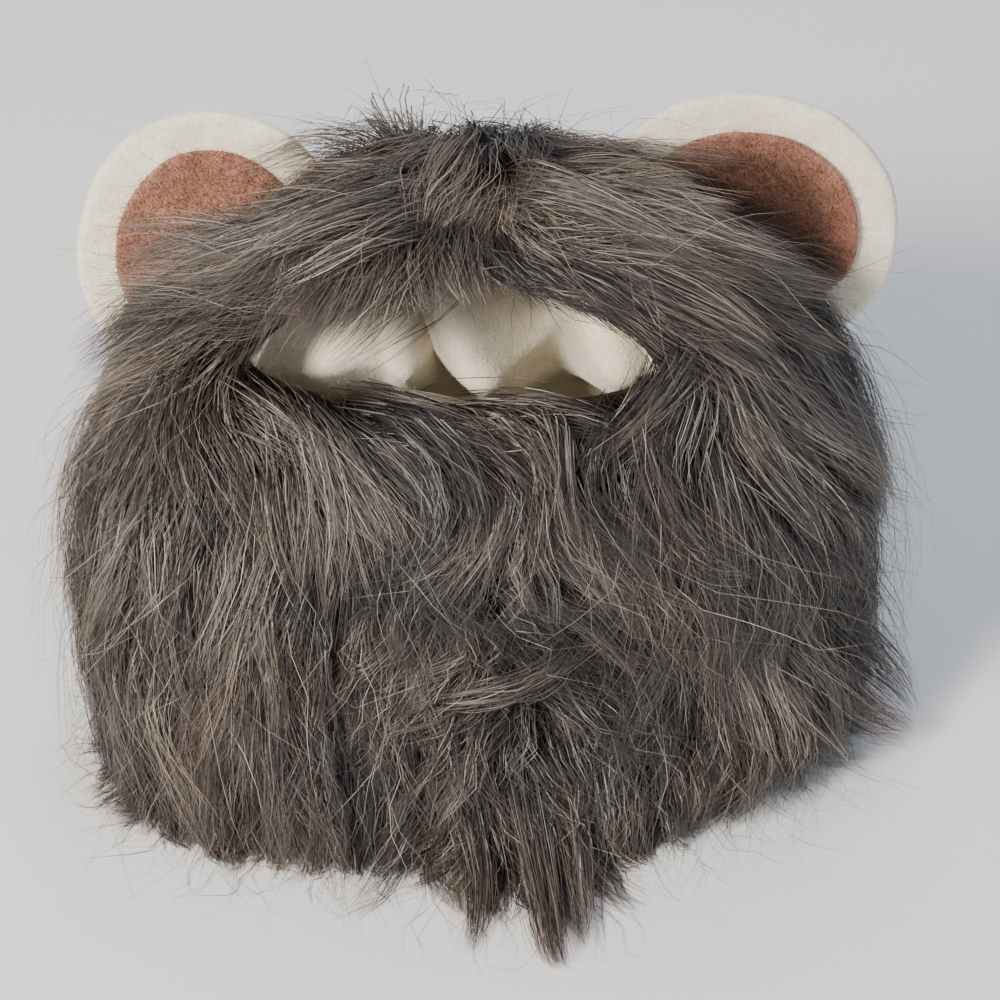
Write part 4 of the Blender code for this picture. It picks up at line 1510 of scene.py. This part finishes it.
    def clumps(self, rng: np.random.Generator) -> tuple[Growth, Array]:
        """The clumps that the strands grow in, drawn towards the tips of their locks.

        Args:
            rng: the source of what varies.

        Returns:
            The clumps' growth, and their paths in millimetres.
        """
        coat, steps = self.coat, self.coat.segments
        locks = coat.habits(*coat.scattered(coat.lock_spacing, rng), rng)
        lock_paths, _ = coat.paths(locks, steps)
        clumps = coat.habits(*coat.scattered(coat.clump_spacing, rng), rng)
        paths, _ = coat.paths(clumps, steps)
        lock_of = nearest(paths[:, 0], lock_paths[:, 0])
        clumps.tone = self.lock_tone * locks.tone[lock_of] + self.clump_tone * clumps.tone
        way = np.linspace(0, 1, steps + 1)[None, :, None]
        apart = np.linalg.norm(lock_paths[lock_of][:, -1] - paths[:, -1], axis=1)
        hold = self.lock_hold * smooth_step(*self.lock_apart, apart)[:, None, None]
        return clumps, mix(paths, lock_paths[lock_of], hold * way**1.3)

    def strands(self, clumps: Growth, rng: np.random.Generator) -> tuple[Growth, Array]:
        """The strands of the clumps.

        Args:
            clumps: the clumps that they grow in.
            rng: the source of what varies.

        Returns:
            The strands' growth, and the number of each one's clump.
        """
        hood, coat = self.hood, self.coat
        behind = np.abs(turned(clumps.angle)) > self.back_from
        dense = np.where(behind, self.back_strands, self.front_strands)
        facing = np.abs(turned(clumps.angle)) < self.facing_to
        dense = np.where(facing & (clumps.share > coat.crown_from), self.brow_strands, dense)
        crested = coat.crest(clumps.angle, clumps.share) > self.sill_crest
        dense = np.where(crested, self.sill_strands, dense)
        clump_of = np.repeat(np.arange(len(dense)), dense)
        count = len(clump_of)
        parent = clumps.picked(clump_of)
        _, per_angle, per_share, _ = hood.basis(parent.angle, parent.share)
        reach = coat.clump_spacing * self.clump_reach * np.sqrt(rng.uniform(0, 1, count))
        turn = rng.uniform(0, 2 * math.pi, count)
        angle = parent.angle + reach * np.cos(turn) / (np.linalg.norm(per_angle, axis=1) + 0.05)
        share = parent.share + reach * np.sin(turn) / np.linalg.norm(per_share, axis=1)
        lifted = self.stray_lift * (rng.uniform(0, 1, count) < self.stray_share)
        made = Growth(
            angle,
            np.clip(share, 0.0, hood.last_share),
            parent.length * rng.uniform(*self.stray_length, count),
            np.clip(parent.layer + rng.normal(0, self.stray_layer, count), *self.layer_limits),
            parent.lean + rng.normal(0, self.stray_lean, count),
            parent.tip + rng.normal(0, self.stray_tip, count) + lifted,
            parent.curl * rng.uniform(*self.stray_curl, count),
            parent.phase + rng.normal(0, self.stray_phase, count),
            parent.tone + rng.normal(0, self.stray_tone, count),
        )
        keep = ~hood.in_opening(made.angle, made.share)
        return made.picked(keep), clump_of[keep]

    def loose(self, rng: np.random.Generator) -> Growth:
        """Long thin strands that stand off the coat.

        Args:
            rng: the source of what varies.

        Returns:
            Their growth.
        """
        angle, share = self.coat.scattered(self.coat.lock_spacing / 3, rng)
        pick = rng.choice(len(angle), min(self.flyaways, len(angle)), replace=False)
        made = self.coat.habits(angle[pick], share[pick], rng)
        count = len(made.angle)
        made.layer = rng.uniform(*self.loose_layer, count)
        made.tip = self.loose_tip * rng.uniform(0.0, 1.0, count) ** 1.5
        longer = made.length * rng.uniform(*self.loose_length, count)
        made.length = np.minimum(longer, made.length + self.loose_extra)
        made.lean += rng.normal(0, self.loose_lean, count)
        made.curl *= self.loose_curl
        made.tone = rng.choice(list(self.loose_tones), count)
        return made

    def grow(self) -> list[bpy.types.Object]:
        """Grows all the strands.

        Returns:
            One joined piece a region.
        """
        rng = np.random.default_rng(self.seed)
        coat, hood, steps = self.coat, self.hood, self.coat.segments
        clumps, clump_paths = self.clumps(rng)
        strands, clump_of = self.strands(clumps, rng)
        paths, normals = coat.paths(strands, steps)
        hold = rng.uniform(*self.clump_hold, len(paths))
        hold = np.where(rng.uniform(0, 1, len(paths)) < self.free_share, self.free_hold, hold)
        way = np.linspace(0, 1, steps + 1)[None, :, None]
        paths = mix(paths, clump_paths[clump_of], hold[:, None, None] * way**1.1)
        loose = self.loose(rng)
        loose_paths, loose_normals = coat.paths(loose, steps)
        batches = [
            (strands, paths, normals, 1.0, 0.0),
            (loose, loose_paths, loose_normals, self.loose_width, 0.0),
        ]
        for wisp in coat.wisps.values():
            points, facing = coat.wisp_paths(wisp, steps, rng)
            at = np.full((wisp.strands, 2), [wisp.root[0], wisp.root[1]])
            growth = coat.habits(at[:, 0], at[:, 1], rng)
            growth.tone = growth.tone * self.wisp_tone
            batches.append((growth, points, facing, self.wisp_width, wisp.light))
        ribbons = [Strands(steps // 2 if region is Region.BACK else steps) for region in Region]
        for growth, paths, normals, wide, light in batches:
            paths = coat.boxed(paths)
            tints = self.tints(growth, paths[:, 0], steps, rng)
            tints *= 1 + light * rng.uniform(0.0, self.wisp_light, (len(paths), 1, 1))
            twist = rng.normal(0, self.twist, len(paths))[:, None, None]
            along = unit(np.gradient(paths, axis=1))
            facing = unit(normals + np.cross(along, normals) * twist)
            number = self.region(growth.angle, growth.share)
            width = self.width * wide * MM * rng.uniform(*self.widths, len(paths))
            behind = number == list(Region).index(Region.BACK)
            width = np.where(behind, width * self.back_width, width)
            for k, ribbon in enumerate(ribbons):
                mine, every = number == k, steps // ribbon.segments
                if mine.any():
                    ribbon.add(hood.place(paths[mine][:, ::every]), facing[mine][:, ::every],
                               width[mine], tints[mine][:, ::every])
        return [ribbon.made(region.value) for ribbon, region in zip(ribbons, Region)]


@dataclass(frozen=True)
class Fuzz:
    """Short curled fibres that stand on a brushed fabric."""

    name: str
    slot: Slot
    low: tuple
    high: tuple
    count: int = 9000
    length: float = 1.1
    width: float = 0.10
    seed: int = 61
    lowest: float = 0.0
    hollow: tuple = ()
    hollow_light: float = 0.28
    lengths: tuple = (0.5, 1.3)
    root_depth: float = 0.1
    turned_back: float = 0.2
    tilt: float = 0.4
    # how upright and how bent a fibre starts, and how upright it ends
    first_half: tuple = (0.7, 0.5)
    second_half: tuple = (-0.2, 0.6)

    def grow(self, cloth: bpy.types.Object, finish: bpy.types.Material) -> bpy.types.Object:
        """The fibres, as one joined piece.

        Args:
            cloth: the piece that they stand on.
            finish: their material.

        Returns:
            The piece of fibres.
        """
        rng = np.random.default_rng(self.seed)
        data = cloth.data
        data.calc_loop_triangles()
        corners = np.empty(len(data.loop_triangles) * 3, np.int32)
        data.loop_triangles.foreach_get("vertices", corners)
        places = np.empty(len(data.vertices) * 3, np.float32)
        data.vertices.foreach_get("co", places)
        triangle = places.reshape(-1, 3)[corners.reshape(-1, 3)].astype(float)
        cross = np.cross(triangle[:, 1] - triangle[:, 0], triangle[:, 2] - triangle[:, 0])
        area = np.linalg.norm(cross, axis=1)
        seen = (cross[:, 1] < self.turned_back * area) & (triangle[:, :, 2].min(1) > self.lowest)
        area = area * seen
        pick = rng.choice(len(area), self.count, p=area / area.sum())
        part = np.sort(rng.uniform(0, 1, (self.count, 2)), axis=1)
        share = np.stack([part[:, 0], part[:, 1] - part[:, 0], 1 - part[:, 1]], 1)
        root = (triangle[pick] * share[..., None]).sum(1)
        normal = unit(cross[pick])
        aside = unit(np.cross(normal, rng.normal(size=(self.count, 3))))
        long = (self.length * MM * rng.uniform(*self.lengths, self.count))[:, None]
        upright, bent = self.first_half
        middle = root + (normal * upright + aside * bent) * long * 0.55
        curled = normal * rng.uniform(*self.second_half, (self.count, 1)) + aside
        tip = middle + curled * long * 0.5
        paths = np.stack([root - normal * self.root_depth * MM, middle, tip], 1)
        tone = rng.uniform(0, 1, (self.count, 1))
        tints = np.repeat(mix(np.array(self.low), np.array(self.high), tone)[:, None], 3, 1)
        # painted shade on the fibres within the hollow
        if self.hollow:
            apart = np.linalg.norm(paths - np.array(self.hollow[:3]), axis=2) / self.hollow[3]
            tints = tints * mix(self.hollow_light, 1.0, smooth_step(*HOLLOW_EDGE, apart))[..., None]
        ribbon = Strands(2)
        facing = np.repeat(unit(normal + rng.normal(0, self.tilt, (self.count, 3)))[:, None], 3, 1)
        ribbon.add(paths, facing, np.full(self.count, self.width * MM), tints)
        return finished(ribbon.made(self.name), finish)


@dataclass
class Ear:
    """One padded ear: a cupped disc, and the napped patch on its front."""

    hood: Hood
    side: int
    name: str
    centre_x: float
    centre_z: float
    half_width: float
    half_height: float
    lean: float = math.radians(16.0)
    depth: float = 40.0
    thickness: float = 7.0
    cup: float = 5.0
    root: float = 3.0
    patch_inset: float = 11.0
    patch_wall: float = 1.5
    patch_gap: float = 0.2
    # how late the pad and the patch thin to their rims
    pad_edge: float = 4.0
    patch_edge: float = 20.0
    # the least share of its flat size that the patch covers
    least_cover: float = 0.31
    # the steps in which an ear's reach is found, and the least reach
    reach_steps: int = 160
    least_reach: float = 4.0
    # the room that strands keep: round the rim, before the patch and behind the ear
    clear_rim: float = 3.0
    clear_front: float = 1.2
    clear_back: float = 1.0
    puckers: int = 19
    pucker_ring: tuple = (0.72, 0.92)
    pucker_depth: float = 0.5
    unevenness: float = 0.35
    uneven_reach: float = 14.0
    spokes: int = 120
    rings: int = 24

    def place(self, turn: Array, distance: Array, stand_off: Array) -> Array:
        """Points about the ear's centre.

        Args:
            turn: the way from the centre, in radians from the outer side.
            distance: how far from the centre, in the ear's leaning plane.
            stand_off: how far behind that plane.

        Returns:
            The points, in millimetres.
        """
        up = distance * np.sin(turn)
        x = self.centre_x + distance * np.cos(turn)
        y = self.depth + up * math.sin(self.lean) + stand_off * math.cos(self.lean)
        z = self.centre_z + up * math.cos(self.lean) - stand_off * math.sin(self.lean)
        return np.stack([x * self.side, y, z], -1)

    def kept_clear(self, points: Array) -> Array:
        """Paths kept on their own side of the ear, by the side that their roots are on.

        Args:
            points: paths in millimetres, a row a path.

        Returns:
            The paths, moved off the ear where they would cross it.
        """
        cos, sin = math.cos(self.lean), math.sin(self.lean)
        across = points[..., 0] * self.side - self.centre_x
        deep, high = points[..., 1] - self.depth, points[..., 2] - self.centre_z
        up, off = high * cos + deep * sin, deep * cos - high * sin
        wide, tall = self.half_width + self.clear_rim, self.half_height + self.clear_rim
        span = (across / wide) ** 2 + (up / tall) ** 2
        within = span < 1
        bowl = self.cup * np.maximum(1 - span, 0.0)
        front = bowl - self.thickness / 2 - self.patch_wall - self.clear_front
        back = bowl + self.thickness / 2 + self.clear_back
        before = (off[:, :1] < bowl[:, :1]) & np.ones_like(within)
        kept = np.where(before, np.minimum(off, front), np.maximum(off, back))
        off = np.where(within, kept, off)
        moved = points.copy()
        moved[..., 1] = self.depth + up * sin + off * cos
        moved[..., 2] = self.centre_z + up * cos - off * sin
        return moved

    def reach(self, turn: Array, grow: float) -> Array:
        """How far the ear reaches: to its rim, or to its root in the pile.

        Args:
            turn: ways from the centre, in radians.
            grow: how much wider than the ear the reach is.

        Returns:
            The reach each way, in millimetres.
        """
        width, height = self.half_width + grow, self.half_height + grow
        rim = 1 / np.hypot(np.cos(turn) / width, np.sin(turn) / height)
        count = self.reach_steps
        steps = np.linspace(0, 1, count + 1)[None, :]
        points = self.place(turn[:, None], rim[:, None] * steps, np.zeros((len(turn), count + 1)))
        moved = self.hood.push_out(points, np.full(points.shape[:2], self.root))
        inside = np.linalg.norm(moved - points, axis=2) > 1e-6
        first = np.where(inside.any(1), inside.argmax(1), count)
        return np.maximum(rim * first / count, np.where(inside.any(1), self.least_reach, rim))

    def disc(self, name: str, front: float, back: float, grow: float, edge: float) -> bpy.types.Object:
        """A ball pressed into a cupped disc between two stand-offs.

        Args:
            name: the piece's name.
            front: the front face's stand-off from the ear's plane.
            back: the back face's stand-off.
            grow: how much wider than the ear it is.
            edge: how late it thins to its rim: small for padding, large for flat cloth.

        Returns:
            The disc, as one closed mesh.
        """
        bpy.ops.mesh.primitive_uv_sphere_add(segments=self.spokes, ring_count=2 * self.rings)
        data = bpy.context.object.data
        flat = np.empty(len(data.vertices) * 3, np.float32)
        data.vertices.foreach_get("co", flat)
        ball = flat.reshape(-1, 3).astype(float)
        turn = np.arctan2(ball[:, 1], ball[:, 0])
        fall = np.arccos(np.clip(ball[:, 2], -1, 1)) * 2 / math.pi
        share = np.minimum(fall, 2 - fall) ** 0.85
        table = np.linspace(-math.pi, math.pi, 181)
        kernel = np.array([1.0, 2.0, 3.0, 2.0, 1.0]) / 9.0
        rim = self.reach(table[:-1], grow)
        rim = sum(k * np.roll(rim, i - 2) for i, k in enumerate(kernel))
        reach = np.interp(turn, table, np.append(rim, rim[0]))
        full = np.interp(turn, table, self.reach(table, 0.0))
        cup = self.cup * np.maximum(1 - (share * reach / full) ** 2, 0.0)
        swell = np.sqrt(np.maximum(1 - share**edge, 0.0))
        middle = (front + back) / 2
        pucker = np.sin(self.puckers * turn + 2 * np.sin(3 * turn))
        pucker = pucker * smooth_step(*self.pucker_ring, share) * swell
        off = middle + (np.where(fall < 1, front, back) - middle) * swell
        off = off + self.pucker_depth * pucker
        points = self.place(turn, share * reach, off + cup)
        uneven = np.stack([waves(points, self.uneven_reach, 50 + k) for k in range(3)], 1)
        points = points + self.unevenness * uneven
        made = shaped(name, self.hood.place(points))
        evened()
        return made

    def build(self, fleece: bpy.types.Material, nap: NappedFinish) -> None:
        """Builds the ear and its patch.

        Args:
            fleece: the material of the ear.
            nap: the finish of its patch.
        """
        half = self.thickness / 2
        pad = self.disc(self.name + "_pad", -half, half, 0.0, self.pad_edge)
        finished(pad, fleece, [self.name])
        fibre = FibreFinish(self.name + " fibres").made()
        Fuzz(self.name + "_fuzz", Slot.FLEECE, *FLEECE).grow(pad, fibre)
        inside = -half - self.patch_gap
        face = inside - self.patch_wall
        patch = self.disc(self.name + "_nap", face, inside, -self.patch_inset, self.patch_edge)
        finished(patch, nap.made(), [self.name + "_patch"])
        wide = 2 * (self.half_width - self.patch_inset) * MM
        tall = 2 * (self.half_height - self.patch_inset) * MM
        pile = Fuzz(self.name + "_nap_pile", Slot.NAP, *RUST, 11000, 1.9, 0.16, 62, hollow=nap.hollow)
        pile.grow(patch, fibre)
        area = sum(face.area for face in patch.data.polygons) / 2
        area = min(max(area, self.least_cover * wide * tall), wide * tall)


@dataclass
class Lining:
    """The fleece lining: a thin bag behind the fur, gathered behind the opening."""

    hood: Hood
    gap: float = 0.8
    wall: float = 1.8
    rim_back: float = 0.022
    columns: int = 216
    low_rows: int = 34
    top_rows: int = 38
    # way from the lower to the upper edge in front, share behind, sag, drop
    low: tuple = (
        (0.00, 0.01, 0.0, 0.0),
        (0.24, 0.17, 0.0, 0.0),
        (0.48, 0.34, 0.02, 0.0),
        (0.68, 0.50, 0.20, 3.0),
        (0.86, 0.61, 0.66, 9.0),
        (1.00, 0.66, 1.00, 4.0),
    )
    top: tuple = (
        (0.00, 0.66, 1.00, 4.0),
        (0.22, 0.74, 0.92, 2.5),
        (0.44, 0.81, 0.74, 1.0),
        (0.66, 0.87, 0.50, 0.0),
        (0.86, 0.93, 0.22, 0.0),
        (1.00, 0.985, 0.0, 0.0),
    )
    # place across, slant, reach, depth of each pleat
    pleats: tuple = (
        (-38.0, 0.10, 10.0, 4.0),
        (-21.5, -0.10, 3.0, 5.0),
        (-16.0, -0.40, 5.0, -9.0),
        (-5.0, -0.62, 6.5, 11.0),
        (17.0, -0.35, 11.0, -11.0),
        (37.0, 0.05, 7.0, 8.0),
    )
    pleats_from: float = 116.0
    fuzz_from: float = 85.0
    # place across, reach, rise of the rolled edge
    lifts: tuple = (
        (-34.0, 9.0, 4.0),
        (24.0, 8.0, 10.0),
    )

    def row(self, curve: Array, way: float, part: str) -> Array:
        """One row of points round the lining.

        Args:
            curve: the smooth table of the part.
            way: the way from the row's lower to its upper edge.
            part: low for below the opening, top for above it.

        Returns:
            Points of the outer face, in millimetres.
        """
        hood = self.hood
        base = hood.seam_angle + np.arange(self.columns + 1) * 360.0 / self.columns
        facing_back = -np.cos(np.radians(base))
        behind, sag, drop = (hood.read(curve, way, column) for column in (1, 2, 3))
        if part == "low":
            front_share = (hood.edge(base, hood.sill_share) - self.rim_back) * mix(0.012, 1.0, way)
        else:
            lintel = hood.edge(base, hood.lintel_share)
            back = np.where(lintel > hood.corner_share + 0.01, self.rim_back, -self.rim_back)
            front_share = mix(lintel + back, self.top[-1][1], way)
        share = mix(front_share, behind, smooth_step(-0.10, 0.60, facing_back))
        angle = hood.column_angle(base, share)
        here, _, _, normal = hood.basis(angle, share)
        point = here - normal * self.gap
        hang = smooth_step(0.0, 0.60, facing_back)
        middle = hood.at(np.full_like(base, 90.0), share)[:, 1]
        point[:, 1] -= np.maximum(point[:, 1] - middle, 0.0) * sag * hang
        pleated = sag * smooth_step(0.45, 0.85, facing_back)
        push = np.zeros_like(base)
        for place, slant, reach, depth in self.pleats:
            here = place + slant * (point[:, 2] - self.pleats_from)
            push += depth * np.exp(-(((point[:, 0] - here) / reach) ** 2))
        point[:, 1] -= push * pleated
        rise = sum(high * np.exp(-(((point[:, 0] - here) / reach) ** 2)) for here, reach, high in self.lifts)
        point[:, 2] -= (drop - rise * smooth_step(0.55, 1.0, sag)) * hang
        return point

    def build(self, fleece: bpy.types.Material) -> None:
        """Builds the lining and the fibres on it.

        Args:
            fleece: its material.
        """
        low_rows, top_rows = self.low_rows, self.top_rows
        low, top = smooth_table(self.low), smooth_table(self.top)
        rows = [self.row(low, k / low_rows, "low") for k in range(low_rows + 1)]
        rows += [self.row(top, k / top_rows, "top") for k in range(top_rows + 1)]
        crown = self.hood.cap_middle - np.array([0.0, 0.0, self.gap + 1.0])
        rows.append(np.tile(crown, (self.columns + 1, 1)))
        middle = self.hood.seam_angle + (np.arange(self.columns) + 0.5) * 360.0 / self.columns
        middle = turned(middle - self.hood.opening_middle)
        inside = np.flatnonzero(np.abs(middle) < self.hood.opening_half).tolist()
        hole = [(low_rows, column) for column in inside]
        made = cloth_grid("fleece_lining", self.hood.place(np.stack(rows)), hole)
        thicken(made, self.wall * MM, -1.0)
        finished(made, fleece, ["hood_lining"])
        fibre = FibreFinish("lining fibres").made()
        fuzz = Fuzz("lining_fuzz", Slot.FLEECE, *FLEECE, seed=63, lowest=self.fuzz_from * MM)
        fuzz.grow(made, fibre)


@dataclass
class Studio:
    """The floor, the soft lights and the camera."""

    target: tuple = (4.1, 10.1, 75.0)
    elevation: float = 38.0
    view_width: float = 270.0
    lens: float = 150.0
    sensor: float = 36.0
    floor_width: float = 12.0
    sky: tuple = (0.80, 0.86, 1.0, 1.0)
    sky_light: float = 0.45
    # each lamp's name, place, width, power and colour
    lamps: tuple = (
        ("key", (-0.80, -0.85, 0.90), 0.36, 42.0, (1.0, 0.92, 0.82)),
        ("fill", (1.1, -0.5, 0.7), 1.2, 7.0, (0.76, 0.86, 1.0)),
        ("back", (0.2, 1.1, 1.1), 1.0, 8.0, (0.88, 0.93, 1.0)),
    )

    def light(self, name: str, place: tuple, size: float, energy: float, colour: tuple) -> None:
        """A soft lamp that faces the mane.

        Args:
            name: the lamp's name.
            place: where it hangs, in metres.
            size: how wide it is, in metres.
            energy: its power.
            colour: its light's colour.
        """
        data = bpy.data.lights.new(name, "AREA")
        data.shape = "DISK"
        data.size = size
        data.energy = energy
        data.color = colour
        lamp = bpy.data.objects.new(name, data)
        bpy.context.scene.collection.objects.link(lamp)
        lamp.location = place
        lamp.rotation_euler = (Vector((0, 0, 0.08)) - Vector(place)).to_track_quat("-Z", "Y").to_euler()

    def build(self) -> None:
        """Sets the stage."""
        bpy.ops.mesh.primitive_plane_add(size=self.floor_width)
        floor = bpy.context.object
        floor.name = "floor"
        floor.data.materials.append(FloorFinish().made())
        for lamp in self.lamps:
            self.light(*lamp)
        world = bpy.data.worlds.new("soft")
        world.use_nodes = True
        world.node_tree.nodes["Background"].inputs["Color"].default_value = self.sky
        world.node_tree.nodes["Background"].inputs["Strength"].default_value = self.sky_light
        bpy.context.scene.world = world
        data = bpy.data.cameras.new("camera")
        data.lens = self.lens
        data.sensor_width = self.sensor
        camera = bpy.data.objects.new("camera", data)
        bpy.context.scene.collection.objects.link(camera)
        turn = math.radians(self.elevation)
        back = Vector((0.0, -math.cos(turn), math.sin(turn)))
        distance = self.view_width / 2 * MM / (self.sensor / 2 / self.lens)
        camera.location = Vector(self.target) * MM + back * distance
        camera.rotation_euler = (-back).to_track_quat("-Z", "Y").to_euler()
        bpy.context.scene.camera = camera


def main() -> None:
    """Builds and dresses the mane, then sets the stage."""
    logging.basicConfig(level=logging.INFO, format="%(name)s: %(message)s")
    bpy.ops.object.select_all(action="DESELECT")
    hood = Hood()
    ears = (
        Ear(hood, -1, "left_ear", 73.0, 122.5, 37.0, 40.5),
        Ear(hood, 1, "right_ear", 71.0, 130.5, 42.5, 38.5),
    )
    mane = Mane(hood, Coat(hood, ears=ears))
    fleece = NappedFinish("cream fleece", *FLEECE).made()
    plain_nap = NappedFinish("rust nap", *RUST, pill=420.0, depth=0.0012)
    # the right ear's cupped patch has painted shade in its hollow
    deep_nap = replace(plain_nap, name="rust nap in the hollow", hollow=(0.0695, 0.059, 0.127, 0.033))
    knit = KnitFinish().made()
    backing = finished(mane.backing(), knit, ["fur_hood"])
    fur = FurFinish().made()
    for piece in mane.grow():
        finished(piece, fur)
    Lining(hood).build(fleece)
    for ear, nap in zip(ears, (plain_nap, deep_nap)):
        ear.build(fleece, nap)
    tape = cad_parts["closure_tape"]
    tape.data.materials.clear()
    tape.data.materials.append(NappedFinish("tape", *TAPE).made())
    Studio().build()


if __name__ == "__main__":
    main()
